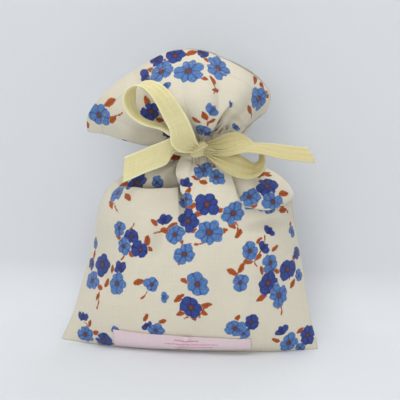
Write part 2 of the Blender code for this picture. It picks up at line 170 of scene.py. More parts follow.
# Pouch: the body at heights above the floor (height, left edge, right edge, half depth, point of its plan),
# then the frill. A point of 1 is a lens with sharp ends and 0.5 is an ellipse.
pouchShape = {
    "body": [
        (0.0, -55.8, 54.4, 13.5, 0.95),
        (2.5, -54.8, 53.9, 17.2, 0.90),
        (8.0, -52.6, 52.4, 20.3, 0.80),
        (18.0, -49.5, 49.4, 22.6, 0.66),
        (30.0, -46.2, 47.0, 23.2, 0.58),
        (44.0, -42.6, 45.0, 22.6, 0.54),
        (55.0, -40.4, 43.4, 21.4, 0.52),
        (62.5, -36.8, 42.2, 19.4, 0.50),
        (68.4, -30.6, 40.3, 16.8, 0.50),
        (73.0, -23.6, 34.6, 14.2, 0.50),
        (77.0, -14.6, 25.0, 10.8, 0.50),
        (80.4, -7.4, 15.0, 6.9, 0.50),
        (87.0, -6.3, 14.7, 6.5, 0.50),
    ],
    "leftCornerForward": 6.5,
    "rightCornerForward": 4.5,
    "cornerFade": 34.0,
    "cornerBend": 1.3,
    "tieHeight": 84.4,
    "bandHeight": 5.2,
    "neckMiddle": 4.2,
    "neckHalfWidth": 10.5,
    "neckHalfDepth": 6.5,
    # the hem from the left tip to the right tip: x, y, height
    "hem": [
        (-44.0, 1.0, 90.0),
        (-42.9, -1.0, 96.4),
        (-37.2, -2.0, 104.2),
        (-27.9, -2.4, 112.2),
        (-16.8, -2.4, 119.2),
        (-5.0, -2.0, 124.2),
        (8.0, -1.0, 123.2),
        (19.5, 1.5, 117.8),
        (28.2, 4.5, 112.0),
        (32.2, 7.5, 105.0),
        (30.5, 10.0, 98.4),
    ],
    "leftStartDeg": -104.0,
    "rightStartDeg": 72.0,
    "puff": 11.5,
    "puffBend": 1.3,
    "edgeRound": 0.6,
    "mouthHalfDepth": 4.6,
    "mouthWidthShare": 0.93,
    "mouthFloorShare": 0.45,
    "frillWall": 0.9,
    "wallGrowth": 2.0,
    "leastInset": 0.15,
    "mostInset": 0.92,
    # small creases of the cloth: seed, length and depth of the broad ones, then of the fine ones
    "wrinkles": ((3, 26.0, 0.8), (5, 11.0, 0.35)),
    "looseFrom": 45.0,
    "looseReach": 25.0,
    "tautShare": 0.35,
    "footReach": 5.0,
    "hemToStitches": 7.6,
    "frontColumns": 360,
    "backColumns": 160,
    "bodyRows": 180,
    "frillRows": 96,
    "mouthRows": 18,
}

# Folds of the front, as lines in the front view (x, height). The lip is on the right of the line and
# slides over the dip beside it. Depths and reaches are millimetres, fades are shares of the line, and
# shade says how dark the dip is painted, as painted shade in the cloth's colour.
frontFolds = [
    {   # the centre pleat lies over the cloth on its left
        "line": [
            (0.9, 49.0), (0.5, 53.0), (0.7, 59.7), (0.0, 65.5), (-2.1, 70.0),
            (-3.5, 74.0), (-3.3, 77.6), (-0.6, 81.2), (2.4, 84.0),
        ],
        "lip": 2.0, "lipWidth": 7.0, "drop": 3.4, "dropWidth": 5.0, "over": 1.5,
        "fadeIn": 0.6, "fadeOut": 0.22, "shade": 0.7, "shadeWidth": 2.6, "wideShade": 0.17,
    },
    {   # the centre panel's right edge, under the right loop
        "line": [(24.0, 62.5), (21.4, 66.2), (20.0, 70.0), (17.6, 75.0), (13.0, 79.8)],
        "lip": 1.0, "lipWidth": 7.0, "drop": 2.8, "dropWidth": 4.5, "over": 0.8,
        "fadeIn": 0.3, "fadeOut": 0.3, "shade": 0.34, "shadeWidth": 3.0, "lipOnLeft": True,
    },
    {   # the right shoulder puffs out over the cloth below it
        "line": [(43.5, 65.6), (37.0, 62.6), (29.6, 62.0), (24.0, 63.4), (20.6, 66.8)],
        "lip": 3.2, "lipWidth": 8.5, "drop": 1.8, "dropWidth": 6.0, "over": 1.6,
        "fadeIn": 0.15, "fadeOut": 0.3, "shade": 0.25, "shadeWidth": 2.2,
    },
    {   # the left shoulder stands out under the cloth that runs back to the neck
        "line": [(-33.0, 68.0), (-26.0, 67.8), (-16.0, 67.9), (-9.0, 68.0), (-4.0, 68.3), (-1.7, 68.5)],
        "lip": 1.6, "lipWidth": 9.0, "drop": 2.8, "dropWidth": 3.0, "over": 1.5,
        "fadeIn": 0.45, "fadeOut": 0.04, "shade": 0.92, "shadeWidth": 3.0,
    },
    {   # the frill's right lobe is tucked behind its middle
        "line": [(7.2, 88.2), (9.0, 91.8), (12.3, 96.8), (16.4, 101.6), (20.5, 104.4)],
        "lip": 1.3, "lipWidth": 9.0, "drop": 4.8, "dropWidth": 9.0, "over": 1.3,
        "fadeIn": 0.14, "fadeOut": 0.4, "shade": 0.25, "shadeWidth": 4.0, "lipOnLeft": True,
    },
    {   # the frill's left lobe is tucked behind its middle
        "line": [(-1.0, 89.5), (-6.0, 96.0), (-10.5, 103.0), (-13.0, 110.0), (-13.5, 116.0)],
        "lip": 1.2, "lipWidth": 8.0, "drop": 3.4, "dropWidth": 9.0, "over": 0.5,
        "fadeIn": 0.1, "fadeOut": 0.6, "shade": 0.3, "shadeWidth": 6.0,
    },
]
# What all these folds share: how sharp the edge is, how far the slide reaches, how much of it goes back
# under, and how far a fold runs on past its line's ends
foldFeel = {
    "edge": 0.55,
    "slideReach": 3.0,
    "slideBack": 0.4,
    "pastReach": 4.0,
    "wideReach": 13.0,
    "searchMargin": 30.0,
    "linePoints": 60,
}
# Soft hollows and swells of the front: x, height, half width, half height, lean in degrees, depth
frontSwells = [
    (-5.2, 72.4, 3.8, 2.4, 0, -2.4),
    (-4.5, 62.0, 4.0, 8.0, 0, -0.8),
    (2.2, 78.5, 0.9, 4.0, 0, -0.9),
    (-22.0, 60.0, 12.0, 8.0, 0, 1.0),
    (11.0, 66.0, 9.0, 9.0, 0, 1.4),
    (14.0, 44.0, 14.0, 12.0, 10, 0.9),
    (30.0, 54.0, 12.0, 4.0, 5, -1.3),
    (-12.0, 50.0, 6.0, 14.0, -8, -1.1),
    (34.0, 36.0, 5.0, 14.0, -12, -0.9),
    (-34.0, 34.0, 6.0, 16.0, 10, -0.8),
    (-30.0, 97.0, 13.0, 5.0, -38, 1.6),
    (-20.0, 92.0, 10.0, 4.0, -25, -0.8),
    (22.0, 97.0, 10.0, 5.0, 30, -0.8),
    (24.0, 108.0, 8.0, 5.0, -30, 1.2),
    (3.0, 108.0, 10.0, 10.0, 0, 1.4),
]

# Painted shade in the cloth's colour: how dark a hollow is painted for each millimetre of its depth
# past the first, and how dark the inside of the mouth is painted
hollowShade = {"from": 0.6, "perMillimetre": 0.32, "mouth": 0.35}

# Gathers: creases as shares of a panel, from a side seam (-1) to the other (1), depths in millimetres.
# The calm part of the front, beside the centre pleat, has next to no fine gathers.
gathers = {
    "frontCreases": (-0.72, -0.36, 0.02, 0.34, 0.70),
    "backCreases": (0.74, 0.38, 0.06, -0.34, -0.66),
    "bodyReach": 30.0,
    "pinchReach": 9.0,
    "frontBodyDepth": 0.7,
    "backBodyDepth": 2.2,
    "neckDepth": 1.0,
    "frontFrillDepth": 0.9,
    "backFrillDepth": 2.0,
    "hemDepth": 0.7,
    "openShare": 0.3,
    "finePerFold": 4,
    "fineDepth": 0.55,
    "fineShare": 0.28,
    "fineDrift": 1.7,
    "fineDriftRate": 0.37,
    "calmFrom": 0.03,
    "calmTo": 0.235,
    "calmFade": 0.03,
    "calmShare": 0.9,
    "backFrom": 0.2,
    "backFade": 0.1,
}


def acrossPanel():
    # shares -cos(t) from one side seam (-1) to the other (1), closer together near the seams
    return -np.cos(np.linspace(0.0, math.pi, 241))


def closedRow(front, back):
    # one row round the pouch: the front panel from the left seam to the right, then the back panel home
    ahead = evenly(front, pouchShape["frontColumns"])[:-1]
    behind = evenly(back[::-1], pouchShape["backColumns"])[:-1]
    return np.concatenate([ahead, behind])


def bodyRows():
    # y = -/+ halfDepth (1 - a^2)^point over x = left + (right - left)(a + 1)/2, row by row up the body,
    # and the lower corners sit forward by a share |a|^cornerBend
    shape = pouchShape
    across = acrossPanel()
    corner = np.where(across < 0, shape["leftCornerForward"], shape["rightCornerForward"])
    forward = corner * np.abs(across) ** shape["cornerBend"]
    rows = []
    for height, left, right, depth, point in smoothThrough(shape["body"], shape["bodyRows"]):
        x = left + (right - left) * (across + 1) / 2
        y = -depth * np.maximum(1 - across**2, 0.0) ** point
        plan = np.stack([x, y, np.full_like(across, height)], axis=1)
        shift = np.zeros_like(plan)
        shift[:, 1] = -forward * smoothStep(1 - height / shape["cornerFade"])
        rows.append(closedRow(plan + shift, plan * (1, -1, 1) + shift))
    return np.array(rows)


def frillSheets(share, across):
    # Hermite from the neck to the hem: the start leans with the angle, the end runs on outwards,
    # then y -/+ (puff sin(pi s)^puffBend + mouth) (1 - a^2)^edgeRound
    shape = pouchShape
    hem = smoothThrough(shape["hem"], 241)
    hemPlaces = np.linspace(0, 1, len(hem))
    hemAt = np.stack([np.interp((across + 1) / 2, hemPlaces, column) for column in hem.T], axis=1)
    lean = np.radians(np.where(across < 0, -across * shape["leftStartDeg"], across * shape["rightStartDeg"]))
    middle = np.array([shape["neckMiddle"], 0.0, shape["tieHeight"] + shape["bandHeight"] / 2])
    length = np.linalg.norm(hemAt - middle, axis=1)[:, None]
    start = np.stack([np.sin(lean), 0 * lean, np.cos(lean)], axis=1) * length
    swell = shape["puff"] * max(math.sin(math.pi * share), 0.0) ** shape["puffBend"]
    swell = swell + shape["mouthHalfDepth"] * smoothStep(share)
    swell = swell * np.maximum(1 - across**2, 0.0) ** shape["edgeRound"]
    quarter = across * math.pi / 2
    sheets = []
    for side in (-1, 1):
        x = shape["neckHalfWidth"] * np.sin(quarter)
        y = side * shape["neckHalfDepth"] * np.cos(quarter)
        neck = middle + np.stack([x, y, 0 * across], axis=1)
        sheet = hermite(share, neck, start, hemAt, hemAt - middle)
        sheet[:, 1] += side * swell
        sheets.append(sheet)
    return sheets


def frillRows():
    # the frill's two sheets, row by row from the tie up to the hem
    across = acrossPanel()
    shares = np.linspace(0.0, 1.0, pouchShape["frillRows"] + 1)[1:]
    return np.array([closedRow(*frillSheets(share, across)) for share in shares])


def mouthRows(outside):
    # the frill's sheets again, drawn in towards their middle by the wall, from the hem down into the
    # mouth, and moved by what the gathers and folds moved the outside
    shape = pouchShape
    plain = frillRows()
    across = acrossPanel() * shape["mouthWidthShare"]
    ends = np.sqrt(np.maximum(1 - (across / across.max()) ** 2, 0.0))[:, None]
    rows = []
    for share in np.linspace(1.0, shape["mouthFloorShare"], shape["mouthRows"]):
        front, back = frillSheets(share, across)
        middle = (front + back) / 2
        room = np.abs(back[:, 1] - front[:, 1]).max() / 2
        wall = shape["frillWall"] + shape["wallGrowth"] * smoothStep((1 - share) / 0.5)
        inset = np.clip(1 - wall / room, shape["leastInset"], shape["mostInset"])
        front = middle + (front - middle) * inset * ends
        back = middle + (back - middle) * inset * ends
        level = round(share * shape["frillRows"]) - 1
        moved = outside[shape["bodyRows"] + level] - plain[level]
        rows.append(closedRow(front, back) + moved)
    return np.array(rows)


def gatherWaves():
    # lobes 2 sqrt(sin^2 + 0.02) - 1 between the creases, finer cosine gathers inside each, and how far
    # each column belongs to the back
    frontCount, backCount = pouchShape["frontColumns"], pouchShape["backColumns"]
    ahead = [(crease + 1) / 4 for crease in gathers["frontCreases"]]
    behind = [1 - (crease + 1) / 4 for crease in gathers["backCreases"]]
    creases = sorted(ahead + behind)
    knots = np.array([creases[-1] - 1, *creases, creases[0] + 1])
    place = np.concatenate([
        np.arange(frontCount) / frontCount / 2,
        0.5 + np.arange(backCount) / backCount / 2,
    ])
    phase = np.interp(place, knots, np.arange(len(knots)))
    folds = 2 * np.sqrt(np.sin(math.pi * phase) ** 2 + 0.02) - 1
    drift = gathers["fineDrift"] * np.sin(2 * math.pi * phase * gathers["fineDriftRate"])
    fine = np.cos(2 * math.pi * gathers["finePerFold"] * phase + drift)
    calm = smoothStep((gathers["calmTo"] - place) / gathers["calmFade"])
    calm = calm * smoothStep((place - gathers["calmFrom"]) / gathers["calmFade"])
    fine = fine * (1 - gathers["calmShare"] * calm)
    return folds, fine, smoothStep((np.abs(place - 0.25) - gathers["backFrom"]) / gathers["backFade"])


def gatherRows(rows):
    # the depth grows up the body, narrows at the tie, and opens again up the frill, more on the back
    shape = pouchShape
    neckFoot = shape["tieHeight"] - shape["bandHeight"] / 2
    below = neckFoot - rows[: shape["bodyRows"], 0, 2]
    rise = smoothStep(1 - below / gathers["bodyReach"])
    pinch = smoothStep(1 - below / gathers["pinchReach"])
    share = np.linspace(0.0, 1.0, shape["frillRows"] + 1)[1:]
    opened = smoothStep(share / gathers["openShare"])
    tail = smoothStep((share - gathers["openShare"]) / (1 - gathers["openShare"]))
    folds, waves, behind = gatherWaves()
    depths = []
    for side in ("front", "back"):
        body = gathers[side + "BodyDepth"] * rise * (1 - pinch) + gathers["neckDepth"] * pinch
        frill = gathers[side + "FrillDepth"] * (1 - tail) + gathers["hemDepth"] * tail
        frill = gathers["neckDepth"] * (1 - opened) + opened * frill
        depths.append(np.concatenate([body, frill])[:, None])
    fine = np.concatenate([pinch**2, 1 - smoothStep(share / gathers["fineShare"])]) * gathers["fineDepth"]
    shift = (depths[0] * (1 - behind) + depths[1] * behind) * folds + fine[:, None] * waves
    return rows + gridNormals(rows) * shift[:, :, None]


def lineDistance(p, line):
    # signed distance of each point from the line, positive on its right, with the line's direction at
    # the nearest place, how far along it that is (0 to 1), and how far past its ends the point lies
    a = line[:-1]
    edge = np.diff(line, axis=0)
    t = np.einsum("nsk,sk->ns", p[:, None] - a, edge) / (edge**2).sum(axis=1)
    closest = a + np.clip(t, 0, 1)[..., None] * edge
    distance = np.linalg.norm(p[:, None] - closest, axis=2)
    pick = distance.argmin(axis=1)
    index = np.arange(len(p))
    gap = p - closest[index, pick]
    unit = edge[pick] / np.linalg.norm(edge[pick], axis=1, keepdims=True)
    side = np.where(gap[:, 0] * unit[:, 1] - gap[:, 1] * unit[:, 0] >= 0, 1.0, -1.0)
    along = (pick + np.clip(t[index, pick], 0, 1)) / len(edge)
    past = np.maximum(np.maximum(-t[:, 0], t[:, -1] - 1), 0.0) * np.linalg.norm(edge[0])
    return side * distance[index, pick], unit, along, past


def foldFront(rows, hollow, fold):
    # with s the signed distance from the line, the lip side rises by lip e^(-s/lipWidth), the other side
    # sinks by drop e^(s/dropWidth), and the lip slides over the dip by over e^(-|s|/slideReach). The dip
    # is darkened with painted shade, shade e^(-(s/shadeWidth)^2), in the cloth's colour
    feel = foldFeel
    half = pouchShape["frontColumns"]
    front = rows[:, : half + 1]
    line = smoothThrough(np.array(fold["line"]), feel["linePoints"], byColumns=2)
    flat = front[:, :, [0, 2]]
    low = line.min(axis=0) - feel["searchMargin"]
    high = line.max(axis=0) + feel["searchMargin"]
    near = ((flat > low) & (flat < high)).all(axis=2)
    s, unit, along, past = lineDistance(flat[near], line)
    turned = -1.0 if fold.get("lipOnLeft") else 1.0
    s = s * turned
    fade = smoothStep(along / fold["fadeIn"]) * smoothStep((1 - along) / fold["fadeOut"])
    fade = fade * np.exp(-past / feel["pastReach"])
    rise = 0.5 * (1 + np.tanh(s / feel["edge"]))
    height = fold["lip"] * np.exp(-np.maximum(s, 0) / fold["lipWidth"]) * rise
    height = height - fold["drop"] * np.exp(-np.maximum(-s, 0) / fold["dropWidth"]) * (1 - rise)
    slide = fold["over"] * np.exp(-np.abs(s) / feel["slideReach"])
    slide = slide * ((1 + feel["slideBack"]) * rise - feel["slideBack"]) * fade
    normals = gridNormals(rows)[:, : half + 1][near]
    move = normals * (height * fade)[:, None]
    move[:, 0] -= unit[:, 1] * turned * slide
    move[:, 2] += unit[:, 0] * turned * slide
    front[near] += move
    rows[:, : half + 1] = front
    # painted shade for the dip, kept as a field that darkens the cloth's colour
    shade = fold["shade"] * np.exp(-((s / fold["shadeWidth"]) ** 2))
    shade = shade + fold.get("wideShade", 0.0) * np.exp(-((s / feel["wideReach"]) ** 2))
    shaded = hollow[:, : half + 1]
    shaded[near] = np.maximum(shaded[near], shade * (1 - rise) * fade)
    return rows


def wrinkle(points, seed, length, depth):
    # sum of plane waves of about this length, with directions and phases drawn once
    rng = np.random.default_rng(seed)
    total = np.zeros(points.shape[:-1])
    for _ in range(9):
        direction = rng.normal(size=3) * (1.0, 1.0, 0.45)
        direction /= np.linalg.norm(direction)
        pace = 2 * math.pi / (length * rng.uniform(0.7, 1.5))
        total += np.sin(points @ direction * pace + rng.uniform(0, 6.28))
    return total / 9 * depth * 2


def swellFront(rows):
    # the front moves out by depth e^(-(u/a)^2 - (v/b)^2) for each swell, and deep hollows get painted shade
    half = pouchShape["frontColumns"]
    shift = np.zeros(rows.shape[:2])
    for x, height, wide, high, lean, depth in frontSwells:
        c, s = math.cos(math.radians(lean)), math.sin(math.radians(lean))
        gx = rows[:, :half, 0] - x
        gz = rows[:, :half, 2] - height
        u = (gx * c + gz * s) / wide
        v = (gz * c - gx * s) / high
        shift[:, :half] += depth * np.exp(-(u**2) - v**2)
    # painted shade: the deeper the hollow, the darker the cloth's colour is painted
    hollow = hollowShade["perMillimetre"] * np.maximum(-shift - hollowShade["from"], 0.0)
    return rows + gridNormals(rows) * shift[:, :, None], hollow


def pouchRows():
    # body and frill as one grid, then gathers, swells, folds and wrinkles, each along the normals
    shape = pouchShape
    rows, hollow = swellFront(gatherRows(np.concatenate([bodyRows(), frillRows()])))
    for fold in frontFolds:
        rows = foldFront(rows, hollow, fold)
    height = rows[:, :, 2]
    loosening = smoothStep((height - shape["looseFrom"]) / shape["looseReach"])
    loose = shape["tautShare"] + (1 - shape["tautShare"]) * loosening
    broad, small = (wrinkle(rows, *sizes) for sizes in shape["wrinkles"])
    shift = (broad + small * loose) * smoothStep(height / shape["footReach"])
    rows = rows + gridNormals(rows) * shift[:, :, None]
    rows[0, :, 2] = 0.0
    rows[:, :, 2] = np.maximum(rows[:, :, 2], 0.0)
    return rows, hollow


# Print: small flowers, buds, leaves and stems at the photo's pixels. Sizes are millimetres on the cloth.
inkColours = {
    "cloth": (224, 216, 196),
    "light": (90, 132, 186),
    "lightShade": (42, 66, 132),
    "dark": (46, 70, 148),
    "darkShade": (26, 30, 84),
    "rust": (170, 78, 4),
    "rustShade": (84, 32, 16),
    "core": (112, 60, 44),
    "coreShade": (66, 30, 38),
}

# (kind, px, py, diameter, petals, turn): three petals make a bud that faces the turn
flowers = [
    ("light", 99, 115, 11.4, 6, 80), ("dark", 145, 77, 8.0, 3, 200), ("light", 161, 71, 11.0, 7, 0),
    ("dark", 175, 56, 8.4, 6, 10), ("dark", 156, 60, 6.6, 4, 0), ("light", 188, 71, 12.6, 8, 20),
    ("light", 218, 68, 11.6, 8, 5), ("light", 259, 99, 10.8, 7, 15), ("dark", 151, 112, 8.8, 5, 40),
    ("dark", 167, 134, 6.0, 3, 190), ("light", 213, 110, 7.6, 3, 40), ("light", 202, 131, 7.0, 5, 20),
    ("dark", 210, 134, 5.2, 3, -80), ("dark", 203, 53, 5.2, 4, 0), ("dark", 124, 143, 3.6, 3, 240),
    ("light", 236, 127, 4.6, 3, 40), ("light", 166, 86, 5.4, 3, -70), ("light", 231, 104, 3.0, 3, 20),
    ("light", 204, 170, 8.0, 6, 0), ("light", 216, 177, 8.2, 6, 25), ("dark", 186, 183, 6.4, 3, 70),
    ("light", 186, 199, 6.0, 4, 40), ("dark", 207, 204, 10.6, 6, 15), ("light", 233, 213, 10.2, 7, 0),
    ("dark", 188, 221, 9.6, 6, 35), ("light", 209, 233, 11.4, 8, 10), ("dark", 164, 220, 7.0, 3, 100),
    ("light", 175, 234, 8.6, 6, 20), ("light", 184, 254, 9.6, 7, 0), ("dark", 267, 186, 9.8, 6, 20),
    ("light", 249, 196, 8.6, 6, 10), ("light", 273, 202, 9.4, 6, 30), ("dark", 137, 183, 10.0, 6, 0),
    ("light", 117, 192, 8.6, 6, 30), ("light", 157, 183, 5.6, 4, 0), ("light", 119, 229, 6.6, 5, 20),
    ("dark", 131, 237, 7.4, 4, 50), ("light", 123, 247, 7.4, 5, 0), ("dark", 140, 250, 8.0, 4, 25),
    ("dark", 102, 265, 10.2, 6, 10), ("dark", 120, 267, 8.0, 3, 125), ("light", 92, 280, 9.6, 7, 40),
    ("light", 117, 284, 9.8, 6, 0), ("light", 152, 285, 7.2, 5, 15), ("light", 164, 297, 5.2, 3, 0),
    ("light", 197, 285, 10.6, 6, 25), ("dark", 191, 307, 10.2, 6, 5), ("dark", 270, 230, 6.0, 3, 60),
    ("dark", 264, 247, 6.6, 3, 30), ("light", 250, 251, 7.8, 5, 0), ("light", 270, 263, 8.6, 4, 60),
    ("dark", 288, 270, 9.8, 5, 30), ("dark", 268, 283, 10.0, 6, 0), ("light", 279, 295, 10.4, 8, 15),
    ("light", 240, 282, 7.6, 5, 20), ("dark", 83, 316, 7.0, 3, 85), ("light", 85, 334, 8.8, 7, 20),
    ("dark", 104, 340, 8.6, 4, 40), ("dark", 147, 326, 5.6, 3, 130), ("light", 156, 330, 7.6, 6, 10),
    ("dark", 251, 322, 7.2, 4, 40), ("light", 235, 328, 8.8, 6, 30), ("light", 244, 334, 6.0, 4, 0),
    ("dark", 281, 331, 7.0, 3, 110), ("light", 289, 343, 9.0, 6, 0), ("dark", 308, 335, 8.8, 5, 20),
    ("light", 94, 243, 5.0, 5, 0), ("dark", 90, 263, 5.6, 4, 20), ("light", 293, 232, 5.4, 4, 0),
    ("dark", 297, 253, 5.6, 4, 10), ("light", 299, 275, 5.4, 4, 0), ("light", 115, 331, 4.6, 4, 0),
    ("light", 300, 348, 5.0, 4, 0),
]
# (px, py, length, direction in degrees, 0 to the right and 90 up)
leaves = [
    (110, 102, 5.4, 25), (112, 120, 4.6, 40), (203, 77, 3.8, -20), (208, 60, 3.6, 140),
    (213, 80, 3.6, 130), (216, 90, 3.4, 10), (255, 79, 4.2, 80), (262, 86, 3.6, 100),
    (267, 94, 3.6, 120), (250, 110, 4.2, 120), (196, 121, 3.8, 150), (205, 117, 4.4, 115),
    (212, 121, 3.2, 10), (191, 53, 4.6, 10), (164, 59, 2.4, 0), (151, 70, 4.0, 160), (156, 79, 3.6, 20),
    (147, 101, 4.6, 120), (160, 120, 3.6, 150), (222, 132, 4.0, 20), (188, 191, 3.6, 60),
    (191, 206, 5.0, 10), (199, 213, 4.6, 35), (220, 210, 4.0, -10), (222, 231, 4.2, 10),
    (192, 230, 4.0, 20), (173, 225, 3.6, 20), (165, 231, 4.2, 170), (181, 240, 3.6, 110),
    (181, 261, 3.8, 60), (154, 223, 3.4, 140), (232, 226, 3.6, 150), (239, 234, 4.0, 60),
    (196, 178, 3.2, 160), (203, 182, 3.8, 150), (199, 165, 3.0, 160), (212, 167, 3.0, 10),
    (255, 192, 3.8, 30), (269, 196, 3.6, 70), (284, 193, 4.4, 15), (268, 175, 3.4, 0),
    (283, 210, 4.2, 10), (253, 205, 3.8, 175), (262, 174, 3.4, 40), (124, 184, 4.4, 0),
    (127, 197, 4.6, 130), (111, 204, 4.0, 110), (119, 238, 3.4, 150), (147, 240, 4.4, 80),
    (148, 248, 3.8, 160), (130, 254, 3.8, 130), (93, 254, 3.4, 70), (112, 269, 3.4, 80),
    (107, 283, 3.8, 60), (100, 287, 3.4, 150), (97, 297, 3.2, 60), (138, 282, 4.4, 20),
    (186, 281, 4.2, 170), (179, 299, 4.6, 40), (181, 313, 4.2, 30), (193, 316, 4.4, 110),
    (206, 305, 4.2, 10), (203, 313, 3.8, 150), (259, 240, 3.2, 40), (258, 257, 3.8, 30),
    (249, 260, 4.6, 10), (275, 249, 3.4, 40), (241, 268, 4.0, 60), (232, 272, 4.2, 150),
    (293, 284, 3.8, 60), (262, 297, 4.4, 30), (279, 306, 4.0, 20), (262, 270, 3.4, 100),
    (276, 272, 3.8, 160), (294, 258, 3.4, 90), (292, 226, 3.4, 80), (237, 319, 3.4, 60),
    (242, 340, 3.4, 10), (146, 318, 3.4, 60), (162, 322, 3.4, 20), (300, 331, 3.6, 30),
    (276, 340, 3.4, 150), (95, 333, 3.6, 20), (100, 346, 3.6, 160), (89, 324, 3.2, 70),
    (175, 158, 4.6, 0), (87, 125, 3.4, 100),
]
# (px, py) from, (px, py) to, sideways bow in millimetres
stems = [
    (106, 117, 122, 113, -0.6), (213, 83, 214, 93, 0.8), (251, 112, 252, 121, 0.5),
    (206, 118, 207, 128, 0.4), (233, 219, 236, 236, 1.6), (196, 243, 186, 252, -0.8),
    (206, 240, 190, 243, 1.0), (172, 225, 154, 233, 0.6), (118, 212, 114, 203, 0.3),
    (125, 250, 121, 260, 0.6), (143, 243, 146, 250, -0.8), (279, 204, 289, 213, 0.5),
    (265, 236, 258, 256, 0.8), (255, 258, 257, 266, -0.5), (98, 300, 97, 308, 0.3),
    (147, 291, 141, 298, 0.4), (236, 276, 242, 271, 0.3), (281, 306, 281, 314, 0.3),
    (184, 318, 200, 318, 0.8), (240, 160, 241, 165, 0.0), (290, 280, 292, 272, 0.3),
    (134, 224, 126, 232, 0.4), (206, 306, 199, 318, -0.6), (84, 322, 90, 330, 0.5),
]
# How the print is laid: the list sizes are scaled by these, and what the photo doesn't show is filled
# with sprigs drawn once from the seed. All lengths are millimetres.
printFeel = {
    "flowerScale": 0.92,
    "leafScale": 1.2,
    "longestStem": 14.0,
    "stemHalfWidth": 0.34,
    "fillSeed": 11,
    "fillTries": 14000,
    "gapToShown": 9.5,
    "gapToSprig": 17.0,
    "sprigSteps": ((0.0, 0.0), (8.2, 3.0), (3.0, -7.6)),
    "shownFacing": 0.06,
    "shownBelow": 40,
}


def flowerFields(q, radius, petals, turnDeg):
    # each petal is an ellipse on a ring of 0.56 R: distance = (|(r/a, t/b)| - 1) b, with lengths that vary
    # a little. The seam between two petals is where the nearest and the next are equally far. Three
    # petals make a bud.
    number = np.arange(petals)
    if petals == 3:
        angles = math.radians(turnDeg) + (number - 1) * 0.85
        spread = 0.42
        q = q + 0.5 * radius * np.array([math.cos(math.radians(turnDeg)), math.sin(math.radians(turnDeg))])
    else:
        uneven = 0.16 * np.sin(2.3 * number + turnDeg)
        angles = math.radians(turnDeg) + 2 * math.pi * (number + uneven) / petals
        spread = 1.5 * 0.58 * math.sin(math.pi / petals)
    lengths = radius * (1 + 0.12 * np.sin(1.9 * number + 0.7 * turnDeg))
    half = 0.64 if petals == 3 else 0.46
    c, s = np.cos(angles), np.sin(angles)
    along = q[:, :1] * c + q[:, 1:] * s - 0.56 * lengths
    aside = q[:, 1:] * c - q[:, :1] * s
    narrow = spread * lengths * (1 + 0.28 * along / lengths)
    gaps = (np.hypot(along / (half * lengths), aside / narrow) - 1) * np.minimum(narrow, half * lengths)
    gaps.sort(axis=1)
    first, second = gaps[:, 0], gaps[:, 1]
    if petals > 3:
        first = np.minimum(first, np.hypot(q[:, 0], q[:, 1]) - 0.5 * radius)
    return first, second - gaps[:, 0]


def leafField(q, length):
    # two circles cross: distance = |(x, |y| + c)| - R, with c and R from half the length and half the width
    half = length / 2
    wide = length * 0.24
    centre = (half**2 - wide**2) / (2 * wide)
    return np.hypot(q[:, 0], np.abs(q[:, 1]) + centre) - (centre + wide)


